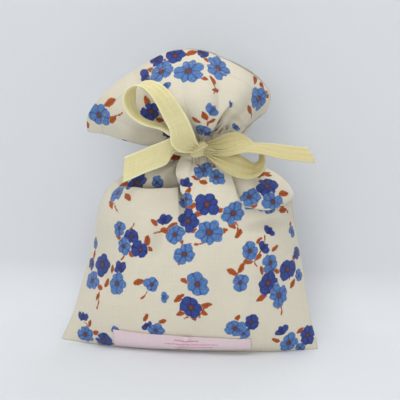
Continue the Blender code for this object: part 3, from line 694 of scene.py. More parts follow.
def printFields(points, normals):
    # each ink is a field of signed distances in millimetres, below zero inside the ink
    feel = printFeel
    right, _, back = cameraAxes()
    pixels, depth = pixelsOf(points)
    towards = normals @ back
    count = len(points)
    fieldNames = ("light", "dark", "rust", "centre", "seam", "rib", "radial")
    fields = {name: np.full(count, 1.5) for name in fieldNames}
    placed = []
    shown = (towards > feel["shownFacing"]) & (pixels[:, 1] > feel["shownBelow"])

    def cast(px, py):
        # the point nearest the camera among those at the pixel
        gap = np.hypot(pixels[:, 0] - px, pixels[:, 1] - py)
        seen = np.where((gap < 1.6) & (towards > 0.05))[0]
        if len(seen) == 0:
            seen = np.argsort(gap + np.where(towards > 0.05, 0, 1e3))[:8]
            if gap[seen[0]] > 4:
                return None
        return seen[np.argmin(depth[seen] + gap[seen] * 0.8)]

    def around(index, reach, spin=0.0, upright=True):
        # the points near one point, and where they lie in its tangent plane, turned by the spin
        normal = normals[index]
        level = right if upright else np.array([-1.0, 0.0, 0.0])
        across = level - normal * (level @ normal)
        across /= np.linalg.norm(across)
        high = np.cross(normal, across)
        offset = points - points[index]
        near = np.where((np.abs(offset) < reach).all(axis=1))[0]
        near = near[normals[near] @ normal > -0.1]
        near = near if upright else near[~shown[near]]
        q = np.stack([offset[near] @ across, offset[near] @ high], axis=1)
        c, s = math.cos(math.radians(spin)), math.sin(math.radians(spin))
        return near, np.stack([q[:, 0] * c + q[:, 1] * s, -q[:, 0] * s + q[:, 1] * c], axis=1)

    def addFlower(index, kind, size, petals, turn, upright=True):
        # the flower's ink takes the smaller distance, and the inks below it are cut back by -distance
        near, q = around(index, size / 2 + 1.5, 0.0, upright)
        distance, seam = flowerFields(q, size / 2, petals, turn)
        other = "dark" if kind == "light" else "light"
        inside = distance < 0.1
        fields[kind][near] = np.minimum(fields[kind][near], distance)
        fields[other][near] = np.maximum(fields[other][near], -distance)
        fields["rust"][near] = np.maximum(fields["rust"][near], -distance)
        fields["seam"][near[inside]] = seam[inside]
        fields["radial"][near[inside]] = np.hypot(q[inside, 0], q[inside, 1]) / (size / 2)
        if petals > 3:
            middle = np.hypot(q[:, 0], q[:, 1]) - max(0.12 * size, 0.62)
            fields["centre"][near] = np.where(inside, middle, np.minimum(fields["centre"][near], middle))
        else:
            fields["centre"][near] = np.where(inside, 1.5, fields["centre"][near])

    def addLeaf(index, size, angle, upright=True):
        # rust ink takes the smaller distance, and the rib is |across the leaf|
        near, q = around(index, size / 2 + 1.5, angle, upright)
        distance = leafField(q, size)
        inside = distance < 0.1
        fields["rust"][near] = np.minimum(fields["rust"][near], distance)
        fields["rib"][near[inside]] = np.abs(q[inside, 1])

    def addStem(first, last, bow):
        # distance from the bowed line y = bow (1 - (x / half)^2), less half the stem's width
        a, b = points[first], points[last]
        middle = (a + b) / 2
        half = np.linalg.norm(b - a) / 2
        near = np.where(np.linalg.norm(points - middle, axis=1) < half + 2)[0]
        near = near[normals[near] @ normals[first] > 0.2]
        direction = (b - a) / (2 * half)
        side = np.cross(normals[first], direction)
        p = points[near] - middle
        x = p @ direction
        y = p @ side - bow * (1 - (x / half) ** 2)
        distance = np.hypot(np.maximum(np.abs(x) - half, 0), y) - feel["stemHalfWidth"]
        fields["rust"][near] = np.minimum(fields["rust"][near], distance)

    for x0, y0, x1, y1, bow in stems:
        first, last = cast(x0, y0), cast(x1, y1)
        if first is None or last is None:
            continue
        if np.linalg.norm(points[first] - points[last]) < feel["longestStem"]:
            addStem(first, last, bow)
    for px, py, size, angle in leaves:
        index = cast(px, py)
        if index is not None:
            addLeaf(index, size * feel["leafScale"], angle)
            placed.append(points[index])
    for kind, px, py, size, petals, turn in flowers:
        index = cast(px, py)
        if index is not None:
            addFlower(index, kind, size * feel["flowerScale"], petals, turn)
            placed.append(points[index])
    # what the photo doesn't show is filled with sprigs of the same kind, drawn once
    rng = np.random.default_rng(feel["fillSeed"])
    order = rng.permutation(np.where(~shown)[0])[: feel["fillTries"]]
    centres = []
    taken = np.array(placed)
    for index in order:
        p = points[index]
        if np.linalg.norm(taken - p, axis=1).min() < feel["gapToShown"]:
            continue
        if centres and np.linalg.norm(np.array(centres) - p, axis=1).min() < feel["gapToSprig"]:
            continue
        centres.append(p)
        spin = rng.uniform(-40, 40)
        kinds = ("light", "dark") if rng.random() < 0.5 else ("dark", "light")
        for number, (sx, sy) in enumerate(feel["sprigSteps"][: rng.integers(2, 4)]):
            normal = normals[index]
            across = np.array([-1.0, 0.0, 0.0]) if abs(normal[0]) < 0.9 else np.array([0.0, 1.0, 0.0])
            across = across - normal * (across @ normal)
            across /= np.linalg.norm(across)
            high = np.cross(normal, across)
            c, s = math.cos(math.radians(spin)), math.sin(math.radians(spin))
            spot = p + across * (sx * c - sy * s) + high * (sx * s + sy * c)
            candidates = np.where(normals @ normal > 0.3)[0]
            nearest = candidates[np.argmin(((points[candidates] - spot) ** 2).sum(axis=1))]
            if towards[nearest] > -0.3 and pixels[nearest, 1] > feel["shownBelow"]:
                continue
            size = rng.uniform(9.0, 10.8) if number == 0 else rng.uniform(6.2, 8.0)
            addLeaf(nearest, 4.4, rng.uniform(0, 360), False)
            addFlower(nearest, kinds[number % 2], size, int(rng.integers(5, 8)), rng.uniform(0, 60), False)
            for angle in rng.uniform(0, 360, 2):
                turned = math.radians(angle)
                tip = spot + (across * math.cos(turned) + high * math.sin(turned)) * (size / 2 + 1.8)
                leafAt = candidates[np.argmin(((points[candidates] - tip) ** 2).sum(axis=1))]
                if not shown[leafAt]:
                    addLeaf(leafAt, rng.uniform(3.8, 4.8), angle, False)
    print("print laid on the cloth:", len(flowers), "flowers in view,", len(centres), "sprigs out of view")
    return fields


def linear(colour):
    # the photo's 0 to 255 values as linear light: c / 12.92, or ((c + 0.055) / 1.055)^2.4
    c = np.array(colour) / 255
    return (*np.where(c < 0.04045, c / 12.92, ((c + 0.055) / 1.055) ** 2.4), 1.0)


def newMaterial(name, roughness, sheen=0.0):
    # a Principled material with its roughness and its sheen set
    material = bpy.data.materials.new(name)
    material.use_nodes = True
    nodes = material.node_tree.nodes
    shader = nodes["Principled BSDF"]
    shader.inputs["Roughness"].default_value = roughness
    shader.inputs["Sheen Weight"].default_value = sheen
    shader.inputs["Sheen Roughness"].default_value = 0.5
    return material, nodes, material.node_tree.links, shader


def mathNode(nodes, links, operation, *values):
    # one math node: numbers are set, sockets are linked
    node = nodes.new("ShaderNodeMath")
    node.operation = operation
    for slot, value in enumerate(values):
        if isinstance(value, (int, float)):
            node.inputs[slot].default_value = value
        else:
            links.new(value, node.inputs[slot])
    return node.outputs[0]


def mixColour(nodes, links, factor, under, over, blend="MIX"):
    # under (1 - factor) + over factor, or under times over for MULTIPLY
    node = nodes.new("ShaderNodeMix")
    node.data_type = "RGBA"
    node.blend_type = blend
    for slot, value in ((0, factor), (6, under), (7, over)):
        if isinstance(value, (int, float, tuple)):
            node.inputs[slot].default_value = value
        else:
            links.new(value, node.inputs[slot])
    return node.outputs[2]


def weaveGroup():
    # plain weave: height = sin(u k) sin(v k) with a slow noise that makes some threads thicker
    group = bpy.data.node_groups.new("plainWeave", "ShaderNodeTree")
    face = group.interface
    face.new_socket("Cloth", in_out="INPUT", socket_type="NodeSocketVector")
    face.new_socket("Threads Per Millimetre", in_out="INPUT", socket_type="NodeSocketFloat")
    face.new_socket("Slub", in_out="INPUT", socket_type="NodeSocketFloat")
    face.new_socket("Height", in_out="OUTPUT", socket_type="NodeSocketFloat")
    face.new_socket("Tone", in_out="OUTPUT", socket_type="NodeSocketFloat")
    nodes, links = group.nodes, group.links
    given = nodes.new("NodeGroupInput")
    out = nodes.new("NodeGroupOutput")
    parts = nodes.new("ShaderNodeSeparateXYZ")
    links.new(given.outputs["Cloth"], parts.inputs[0])
    turns = mathNode(nodes, links, "MULTIPLY", given.outputs["Threads Per Millimetre"], math.pi)
    warp = mathNode(nodes, links, "SINE", mathNode(nodes, links, "MULTIPLY", parts.outputs[0], turns))
    weft = mathNode(nodes, links, "SINE", mathNode(nodes, links, "MULTIPLY", parts.outputs[1], turns))
    cross = mathNode(nodes, links, "MULTIPLY", warp, weft)
    # slubs: noise stretched along each thread direction
    tones = []
    for scale in ((2.4, 0.12, 1.0), (0.12, 2.4, 1.0)):
        stretch = nodes.new("ShaderNodeVectorMath")
        stretch.operation = "MULTIPLY"
        links.new(given.outputs["Cloth"], stretch.inputs[0])
        stretch.inputs[1].default_value = scale
        noise = nodes.new("ShaderNodeTexNoise")
        noise.inputs["Scale"].default_value = 1.0
        noise.inputs["Detail"].default_value = 2.0
        links.new(stretch.outputs[0], noise.inputs["Vector"])
        tones.append(noise.outputs[0])
    slub = mathNode(nodes, links, "SUBTRACT", mathNode(nodes, links, "ADD", *tones), 1.0)
    slub = mathNode(nodes, links, "MULTIPLY", slub, given.outputs["Slub"])
    height = mathNode(nodes, links, "ADD", mathNode(nodes, links, "MULTIPLY", cross, 0.5), slub)
    links.new(height, out.inputs["Height"])
    links.new(slub, out.inputs["Tone"])
    return group


def inkGroup():
    # one ink over what lies under it: mask = 1 - smoothstep of the signed distance
    group = bpy.data.node_groups.new("printedInk", "ShaderNodeTree")
    face = group.interface
    face.new_socket("Under", in_out="INPUT", socket_type="NodeSocketColor")
    face.new_socket("Ink", in_out="INPUT", socket_type="NodeSocketColor")
    face.new_socket("Distance", in_out="INPUT", socket_type="NodeSocketFloat")
    face.new_socket("Colour", in_out="OUTPUT", socket_type="NodeSocketColor")
    face.new_socket("Mask", in_out="OUTPUT", socket_type="NodeSocketFloat")
    nodes, links = group.nodes, group.links
    given = nodes.new("NodeGroupInput")
    out = nodes.new("NodeGroupOutput")
    edge = nodes.new("ShaderNodeMapRange")
    edge.interpolation_type = "SMOOTHSTEP"
    edge.inputs["From Min"].default_value = -0.14
    edge.inputs["From Max"].default_value = 0.14
    edge.inputs["To Min"].default_value = 1.0
    edge.inputs["To Max"].default_value = 0.0
    links.new(given.outputs["Distance"], edge.inputs["Value"])
    colour = mixColour(nodes, links, edge.outputs[0], given.outputs["Under"], given.outputs["Ink"])
    links.new(colour, out.inputs["Colour"])
    links.new(edge.outputs[0], out.inputs["Mask"])
    return group


def attributeOf(nodes, name):
    # one of the mesh's fields as a number
    node = nodes.new("ShaderNodeAttribute")
    node.attribute_name = name
    return node.outputs["Fac"]


def rangeOf(nodes, links, value, low, high, start, end):
    # start where the value is low, end where it is high, and 3 t^2 - 2 t^3 between
    node = nodes.new("ShaderNodeMapRange")
    node.interpolation_type = "SMOOTHSTEP"
    links.new(value, node.inputs["Value"])
    for key, number in (("From Min", low), ("From Max", high), ("To Min", start), ("To Max", end)):
        node.inputs[key].default_value = number
    return node.outputs[0]


def clothVector(nodes):
    # the piece's own millimetres along the cloth
    node = nodes.new("ShaderNodeUVMap")
    node.uv_map = "clothMillimetres"
    return node.outputs[0]


def addWeave(nodes, links, shader, weave, threads, slub, strength, distance, relief=None):
    # bump height = weave + relief, and the weave's tone is handed back for the colour
    cloth = clothVector(nodes)
    group = nodes.new("ShaderNodeGroup")
    group.node_tree = weave
    links.new(cloth, group.inputs["Cloth"])
    group.inputs["Threads Per Millimetre"].default_value = threads
    group.inputs["Slub"].default_value = slub
    height = group.outputs["Height"]
    if relief is not None:
        height = mathNode(nodes, links, "ADD", height, relief)
    bump = nodes.new("ShaderNodeBump")
    bump.inputs["Strength"].default_value = strength
    bump.inputs["Distance"].default_value = distance
    links.new(height, bump.inputs["Height"])
    links.new(bump.outputs[0], shader.inputs["Normal"])
    return group.outputs["Tone"], cloth


def seamGroup():
    # a groove where the distance to the sewing is small, and a stitch of thread in it wherever
    # sin(2 pi u / pitch) is high
    group = bpy.data.node_groups.new("sewnLine", "ShaderNodeTree")
    face = group.interface
    for name in ("Distance", "Along", "Groove Width", "Stitch Pitch"):
        face.new_socket(name, in_out="INPUT", socket_type="NodeSocketFloat")
    face.new_socket("Groove", in_out="OUTPUT", socket_type="NodeSocketFloat")
    face.new_socket("Thread", in_out="OUTPUT", socket_type="NodeSocketFloat")
    nodes, links = group.nodes, group.links
    given = nodes.new("NodeGroupInput")
    out = nodes.new("NodeGroupOutput")
    gap = mathNode(nodes, links, "ABSOLUTE", given.outputs["Distance"])
    share = mathNode(nodes, links, "DIVIDE", gap, given.outputs["Groove Width"])
    groove = rangeOf(nodes, links, share, 0.0, 1.0, 1.0, 0.0)
    turns = mathNode(nodes, links, "DIVIDE", given.outputs["Along"], given.outputs["Stitch Pitch"])
    wave = mathNode(nodes, links, "SINE", mathNode(nodes, links, "MULTIPLY", turns, 2 * math.pi))
    dash = rangeOf(nodes, links, wave, -0.6, -0.2, 0.0, 1.0)
    thread = mathNode(nodes, links, "MULTIPLY", rangeOf(nodes, links, share, 0.3, 0.55, 1.0, 0.0), dash)
    links.new(groove, out.inputs["Groove"])
    links.new(thread, out.inputs["Thread"])
    return group


def printedCotton(weave, ink, seam):
    # ground, then the four inks over it, then the sewing, then painted shade in the folds
    material, nodes, links, shader = newMaterial("printedCotton", 0.88, 0.25)
    parts = nodes.new("ShaderNodeSeparateXYZ")
    links.new(clothVector(nodes), parts.inputs[0])
    toHem = attributeOf(nodes, "hemGap")
    toHem = mathNode(nodes, links, "SUBTRACT", toHem, pouchShape["hemToStitches"])
    toSide = attributeOf(nodes, "sideGap")
    sewn = []
    # groove widths and stitch pitches in millimetres
    for gap, along, width, pitch in (
        (toHem, parts.outputs[0], 0.45, 2.3),
        (toSide, parts.outputs[1], 0.6, 50.0),
    ):
        line = nodes.new("ShaderNodeGroup")
        line.node_tree = seam
        links.new(gap, line.inputs["Distance"])
        links.new(along, line.inputs["Along"])
        line.inputs["Groove Width"].default_value = width
        line.inputs["Stitch Pitch"].default_value = pitch
        sewn.append(line)
    relief = mathNode(nodes, links, "ADD", sewn[0].outputs["Groove"], sewn[1].outputs["Groove"])
    relief = mathNode(nodes, links, "MULTIPLY", relief, -3.0)
    tone, cloth = addWeave(nodes, links, shader, weave, 2.4, 0.9, 0.4, 0.00014, relief)
    c = {key: linear(value) for key, value in inkColours.items()}
    blotch = nodes.new("ShaderNodeTexNoise")
    blotch.inputs["Scale"].default_value = 1.1
    blotch.inputs["Detail"].default_value = 3.0
    links.new(cloth, blotch.inputs["Vector"])
    streak = rangeOf(nodes, links, blotch.outputs[0], 0.38, 0.62, 0.0, 1.0)
    thick = rangeOf(nodes, links, tone, -0.4, 0.4, 0.0, 1.0)
    dimmer = tuple(x * 0.93 for x in c["cloth"][:3]) + (1.0,)
    ground = mixColour(nodes, links, thick, c["cloth"], dimmer)
    petalSeam = rangeOf(nodes, links, attributeOf(nodes, "seam"), 0.15, 1.0, 0.9, 0.0)
    radial = attributeOf(nodes, "radial")
    heart = rangeOf(nodes, links, radial, 0.22, 0.5, 0.8, 0.0)
    shadeMask = mathNode(nodes, links, "MAXIMUM", petalSeam, heart)
    shadeMask = mathNode(nodes, links, "MAXIMUM", shadeMask, mathNode(nodes, links, "MULTIPLY", streak, 0.5))
    lightInk = mixColour(nodes, links, shadeMask, c["light"], c["lightShade"])
    darkInk = mixColour(nodes, links, shadeMask, c["dark"], c["darkShade"])
    rib = rangeOf(nodes, links, attributeOf(nodes, "rib"), 0.05, 0.4, 0.6, 0.0)
    rustInk = mixColour(nodes, links, rib, c["rust"], c["rustShade"])
    core = rangeOf(nodes, links, attributeOf(nodes, "centre"), -0.7, -0.1, 0.0, 0.7)
    coreInk = mixColour(nodes, links, core, c["core"], c["coreShade"])
    colour = ground
    outline = nodes.new("ShaderNodeTexNoise")
    outline.inputs["Scale"].default_value = 0.55
    outline.inputs["Detail"].default_value = 1.0
    links.new(cloth, outline.inputs["Vector"])
    ragged = mathNode(nodes, links, "SUBTRACT", outline.outputs[0], 0.5)
    ragged = mathNode(nodes, links, "MULTIPLY", ragged, 1.1)
    for name, inkColour in (("rust", rustInk), ("light", lightInk), ("dark", darkInk), ("centre", coreInk)):
        layer = nodes.new("ShaderNodeGroup")
        layer.node_tree = ink
        links.new(colour, layer.inputs["Under"])
        links.new(inkColour, layer.inputs["Ink"])
        links.new(mathNode(nodes, links, "ADD", attributeOf(nodes, name), ragged), layer.inputs["Distance"])
        colour = layer.outputs["Colour"]
    groove = mathNode(nodes, links, "ADD", sewn[0].outputs["Groove"], sewn[1].outputs["Groove"])
    dim = mathNode(nodes, links, "MULTIPLY", groove, 0.2)
    colour = mixColour(nodes, links, dim, colour, linear((120, 108, 92)))
    stitch = mathNode(nodes, links, "MULTIPLY", sewn[0].outputs["Thread"], 0.25)
    colour = mixColour(nodes, links, stitch, colour, linear((236, 228, 212)))
    # painted shade: the cloth's colour is darkened where the folds are deep, and inside the mouth
    colour = mixColour(nodes, links, attributeOf(nodes, "hollow"), colour, linear((92, 78, 62)), "MULTIPLY")
    links.new(colour, shader.inputs["Base Color"])
    return material


def makePouch(material):
    # outside and inside rows as one closed surface, with u and v as lengths along the rows and up them
    outside, hollow = pouchRows()
    inside = mouthRows(outside)
    normals = gridNormals(outside)
    rings = np.concatenate([outside, inside])
    rowCount, columns = rings.shape[:2]
    half = pouchShape["frontColumns"]
    steps = np.linalg.norm(np.roll(rings, -1, axis=1) - rings, axis=2)
    along = np.cumsum(steps, axis=1) - steps
    u = along - along[:, half // 2][:, None]
    backStart = along[:, half + pouchShape["backColumns"] // 2][:, None]
    u[:, half:] = along[:, half:] - backStart
    rise = np.linalg.norm(np.diff(rings[:, half // 2], axis=0), axis=1)
    v = np.concatenate([[0.0], np.cumsum(rise)])[:, None] + 0 * u
    points = rings.reshape(-1, 3)
    allNormals = np.concatenate([normals, gridNormals(inside)]).reshape(-1, 3)
    fields = printFields(points, allNormals)
    seamAt = along[:, half][:, None]
    aroundRow = along[:, -1:] + steps[:, -1:]
    fields["sideGap"] = np.minimum(np.minimum(along, aroundRow - along), np.abs(along - seamAt)).ravel()
    fields["hemGap"] = (v[pouchShape["bodyRows"] + pouchShape["frillRows"] - 1] - v + 0 * u).ravel()
    # painted shade for the folds and hollows, and a flat painted shade inside the mouth
    fields["hollow"] = np.concatenate([hollow, np.full(inside.shape[:2], hollowShade["mouth"])]).ravel()
    faces = gridFaces(rowCount, columns, True)
    lastRing = (rowCount - 1) * columns
    caps = [tuple(range(columns))[::-1], tuple(range(lastRing, lastRing + columns))]
    pouch = makeMesh("clothPouch", points, faces, np.stack([u, v], axis=-1).reshape(-1, 2), fields, caps)
    pouch.data.materials.append(material)
    print("pouch:", len(points), "points")
    return pouch, outside


# Ribbon: stations of each loop and tail from the knot's middle, near edge then far edge, as x, lift, height
ribbonShape = {
    "width": 10.0,
    "thickness": 0.28,
    "knot": (5.2, -12.8, 84.8),
    "knotHalf": (4.1, 2.7, 2.7),
    "knotLeanDeg": 32.0,
    "steps": 130,
    "acrossSteps": 16,
    "pleats": 3.0,
    "pleatDepth": 0.42,
}
ribbonRuns = {
    "leftLoop": [
        (-2.2, 1.4, -0.6, -0.2, 1.4, 2.2),
        (-7.2, 4.0, -0.4, -0.5, 4.2, 4.6),
        (-10.4, 6.6, 3.0, -1.2, 6.0, 7.8),
        (-10.6, 8.0, 8.2, -2.8, 7.0, 12.0),
        (-13.0, 8.4, 13.3, -5.0, 7.2, 16.1),
        (-15.7, 9.9, 19.2, -9.0, 8.0, 21.9),
        (-18.8, 10.4, 23.5, -13.3, 6.8, 25.7),
        (-21.1, 10.6, 25.3, -17.2, 5.2, 27.3),
        (-23.6, 10.4, 25.9, -20.3, 3.7, 27.3),
        (-26.3, 9.7, 25.1, -23.0, 2.0, 26.3),
        (-28.0, 9.2, 23.3, -24.8, 0.8, 24.6),
        (-28.8, 8.2, 20.4, -25.3, 0.0, 21.3),
        (-28.2, 7.2, 17.3, -25.3, -0.6, 18.1),
        (-26.1, 6.2, 14.3, -24.0, -1.0, 15.0),
        (-22.7, 5.2, 11.8, -21.4, -1.4, 12.5),
        (-18.4, 4.2, 10.0, -17.7, -1.6, 11.0),
        (-14.1, 3.2, 8.8, -13.6, -1.6, 9.6),
        (-9.9, 0.9, 6.5, -9.1, -1.6, 7.7),
        (-5.2, -0.6, 3.0, -4.6, -1.6, 4.3),
        (-1.5, -0.6, 0.4, -0.5, -0.8, 2.0),
    ],
    "rightLoop": [
        (2.0, 1.2, -1.6, 2.6, 1.2, 0.4),
        (5.7, 3.2, -4.5, 7.7, 3.2, -0.8),
        (10.0, 5.2, -7.5, 12.3, 4.2, -0.6),
        (14.1, 6.2, -9.4, 16.3, 4.7, -0.9),
        (18.6, 6.7, -10.4, 19.4, 3.7, -2.5),
        (22.1, 6.2, -10.2, 21.7, 1.7, -4.0),
        (24.9, 5.7, -8.7, 23.2, -0.8, -4.5),
        (26.5, 4.7, -6.2, 23.8, -2.8, -3.4),
        (26.8, 3.7, -3.2, 23.7, -4.8, -1.2),
        (25.7, 2.7, -0.1, 22.6, -5.8, 1.0),
        (23.2, 1.7, 1.7, 20.0, -6.3, 3.2),
        (19.5, 0.7, 2.3, 16.8, -6.3, 5.4),
        (15.4, 0.2, 1.7, 13.5, -5.8, 6.2),
        (11.4, 0.0, 0.4, 10.0, -4.8, 5.6),
        (7.3, 0.0, -0.1, 6.9, -3.3, 3.9),
        (3.4, 0.0, 0.3, 3.2, -1.8, 2.2),
    ],
    "leftTail": [
        (-1.5, -0.2, -1.1, -0.8, -0.2, 0.9),
        (-6.1, 0.2, -1.1, -4.5, 0.2, 2.2),
        (-10.4, 1.2, -1.2, -7.6, 0.8, 4.4),
        (-13.2, 2.5, -6.0, -9.9, 1.8, 5.4),
        (-16.4, 3.5, -7.5, -14.0, 2.8, 3.8),
        (-21.0, 4.6, -9.2, -19.0, 3.6, 1.7),
        (-25.7, 5.7, -11.3, -24.2, 4.7, -0.6),
        (-30.2, 6.7, -13.2, -29.5, 5.7, -2.8),
    ],
    "rightTail": [
        (2.4, 1.7, -0.7, 2.4, 1.7, 1.1),
        (6.6, 3.7, -1.8, 6.5, 3.2, 0.4),
        (10.1, 6.2, -1.1, 9.8, 3.7, 0.5),
        (13.6, 8.7, -0.3, 13.9, 4.4, 1.8),
        (17.7, 10.2, 0.8, 18.3, 3.9, 3.5),
        (21.7, 10.7, 1.2, 23.5, 3.4, 4.1),
        (26.4, 10.7, 0.6, 29.0, 3.2, 3.9),
        (31.8, 10.2, -0.9, 34.5, 2.8, 3.3),
        (39.6, 9.4, -2.0, 40.8, 2.0, 2.5),
        (45.4, 8.6, -2.6, 45.4, 1.4, 2.2),
    ],
}
# painted shade: how light each run is painted next to the others, standing for the light on it and
# for the darker things showing through the sheer cloth
ribbonPaintedTones = {
    "band": 0.86,
    "knot": 0.90,
    "leftLoop": 1.0,
    "rightLoop": 0.77,
    "leftTail": 1.0,
    "rightTail": 0.76,
}
# how far one corner of a cut end stands before the other
endCuts = {"leftTail": 0.0, "rightTail": -3.8}


def frontOf(surface, points, reach):
    # the most forward y of the cloth in each cell of a grid over the front view, widened by the reach
    cell = reach / 2
    flat = surface[:, [0, 2]]
    low = flat.min(axis=0) - 4 * reach
    size = ((flat.max(axis=0) + 4 * reach - low) / cell).astype(int) + 1
    depth = np.zeros(size)
    where = ((flat - low) / cell).astype(int)
    np.minimum.at(depth, (where[:, 0], where[:, 1]), surface[:, 1])
    widened = depth
    for shift in [(a, b) for a in range(-2, 3) for b in range(-2, 3)]:
        widened = np.minimum(widened, np.roll(depth, shift, axis=(0, 1)))
    at = np.clip(((points[..., [0, 2]] - low) / cell).astype(int), 0, size - 1)
    return widened[at[..., 0], at[..., 1]]


def ribbonRows(route, surface):
    # rows = knot + near edge (1 - w) + far edge w, moved forward where the cloth would be in the way, and
    # pleated near the knot by depth cos(2 pi n w) as the edges come together
    shape = ribbonShape
    knot = np.array(shape["knot"])
    run = smoothThrough(route, shape["steps"]) * (1, -1, 1, 1, -1, 1)
    places = np.linspace(0.0, 1.0, shape["acrossSteps"] + 1)
    rows = knot + run[:, None, :3] * (1 - places)[:, None] + run[:, None, 3:] * places[:, None]
    limit = frontOf(surface, rows[::3, ::4], 1.6) - 0.5
    push = np.maximum(rows[::3, ::4, 1] - limit, 0.0).max(axis=1)
    push = np.interp(np.arange(len(rows)), np.arange(len(rows))[::3], push)
    centre = (run[:, :3] + run[:, 3:]) / 2
    away = np.hypot(centre[:, 0], centre[:, 2])
    push *= smoothStep((away - 3.5) / 4)
    push = np.convolve(np.pad(push, 4, mode="edge"), np.ones(9) / 9, mode="valid")
    rows[:, :, 1] -= push[:, None]
    width = np.linalg.norm(run[:, 3:] - run[:, :3], axis=1)
    pinch = np.clip(1 - width / shape["width"], 0, 0.65)
    normals = gridNormals(rows, closed=False)
    wave = np.cos(2 * math.pi * shape["pleats"] * places)
    rows = rows + normals * (shape["pleatDepth"] * pinch[:, None] * 2.4 * wave)[:, :, None]
    curl = 0.35 * (2 * np.abs(places - 0.5)) ** 3
    rows = rows + normals * curl[:, None]
    return rows


def stripCaps(steps, count, across):
    # the two ends of a strip: quads from one skin's points to the other's
    caps = []
    for ring, flip in ((0, True), (steps - 1, False)):
        first = ring * count
        last = first + count - 1
        for column in range(across - 1):
            face = [first + column, first + column + 1, last - 1 - column, last - column]
            caps.append(face if flip else face[::-1])
    return caps


def makeStrip(rows, thickness, cut=0.0):
    # two skins half a thickness either side of the rows, joined at the edges and ends
    along = np.gradient(rows, axis=0)
    along /= np.linalg.norm(along, axis=2, keepdims=True)
    places = np.linspace(-0.5, 0.5, rows.shape[1])
    tail = smoothStep(np.linspace(-9, 1, len(rows)))
    rows = rows + along * (tail[:, None] * places * cut)[:, :, None]
    normals = gridNormals(rows, closed=False) * thickness / 2
    section = np.concatenate([rows + normals, (rows - normals)[:, ::-1]], axis=1)
    steps, count = section.shape[:2]
    strides = np.linalg.norm(np.diff(rows[:, rows.shape[1] // 2], axis=0), axis=1)
    length = np.concatenate([[0.0], np.cumsum(strides)])
    wide = np.linspace(0.0, ribbonShape["width"], rows.shape[1])
    u = np.concatenate([wide, wide[::-1]])[None] + 0 * length[:, None]
    v = length[:, None] + 0 * u
    faces = gridFaces(steps, count, True)[:, ::-1]
    caps = stripCaps(steps, count, rows.shape[1])
    return section.reshape(-1, 3), faces, np.stack([u, v], axis=-1).reshape(-1, 2), caps


def bandStrip():
    # the turn round the neck: an ellipse on edge, with three soft lengthwise folds
    steps, across = 150, 12
    angles = np.linspace(0, 2 * math.pi, steps, endpoint=False)
    halfWidth = pouchShape["neckHalfWidth"] + 2.3
    halfDepth = pouchShape["neckHalfDepth"] + 2.3
    rise = np.linspace(-0.5, 0.5, across)
    fold = 0.3 * np.cos(2 * math.pi * 2.5 * rise)
    x = pouchShape["neckMiddle"] + (halfWidth + fold[:, None]) * np.cos(angles)
    y = (halfDepth + fold[:, None]) * np.sin(angles)
    z = pouchShape["tieHeight"] + pouchShape["bandHeight"] * rise[:, None] + 0.5 * np.sin(angles + 0.6)
    outer = np.stack([x, y, z], axis=-1)
    inner = outer.copy()
    inner[:, :, 0] -= 0.35 * np.cos(angles)
    inner[:, :, 1] -= 0.35 * np.sin(angles)
    rings = np.concatenate([outer, inner[::-1], outer[:1]])
    points = rings[:-1].reshape(-1, 3)
    count = len(rings) - 1
    r, c = np.meshgrid(np.arange(count), np.arange(steps), indexing="ij")
    below = ((r + 1) % count) * steps
    beside = (c + 1) % steps
    faces = np.stack([r * steps + c, r * steps + beside, below + beside, below + c], axis=-1).reshape(-1, 4)
    uv = np.stack([np.repeat(np.linspace(0, 10, count), steps), np.tile(angles * 11, count)], axis=-1)
    return points, faces, uv, []


def knotLump():
    # a lump along a leaning axis: half length sin(tilt) along it, and round it
    # r = cos(tilt)^0.75 (1 + 0.13 cos(6 turn + 1.2 tilt) + 0.05 cos(11 turn - 2 tilt))
    up, around = 44, 96
    tilt = np.linspace(-math.pi / 2, math.pi / 2, up + 2)[1:-1, None]
    turn = np.linspace(0, 2 * math.pi, around, endpoint=False)[None]
    ridge = 1 + 0.13 * np.cos(6 * turn + 1.2 * tilt) + 0.05 * np.cos(11 * turn - 2 * tilt)
    swell = np.cos(tilt) ** 0.75 * ridge
    hx, hy, hz = ribbonShape["knotHalf"]
    lean = math.radians(ribbonShape["knotLeanDeg"])
    along = hx * np.sin(tilt) + 0 * turn
    forward = hy * swell * np.cos(turn)
    side = hz * swell * np.sin(turn)
    body = np.stack([along * math.cos(lean) - side * math.sin(lean), -forward,
                     along * math.sin(lean) + side * math.cos(lean)], axis=-1)
    points = np.concatenate([body.reshape(-1, 3), body[:1].mean(axis=1), body[-1:].mean(axis=1)])
    points = points + np.array(ribbonShape["knot"])
    faces = gridFaces(up, around, True)
    bottom, top = up * around, up * around + 1
    caps = [((c + 1) % around, c, bottom) for c in range(around)]
    last = (up - 1) * around
    caps += [(last + c, last + (c + 1) % around, top) for c in range(around)]
    u = np.tile(np.linspace(0, 24, around), up)
    v = np.repeat(np.linspace(0, 10, up), around)
    uv = np.concatenate([np.stack([u, v], axis=-1), np.zeros((2, 2))])
    return points, faces, uv, caps


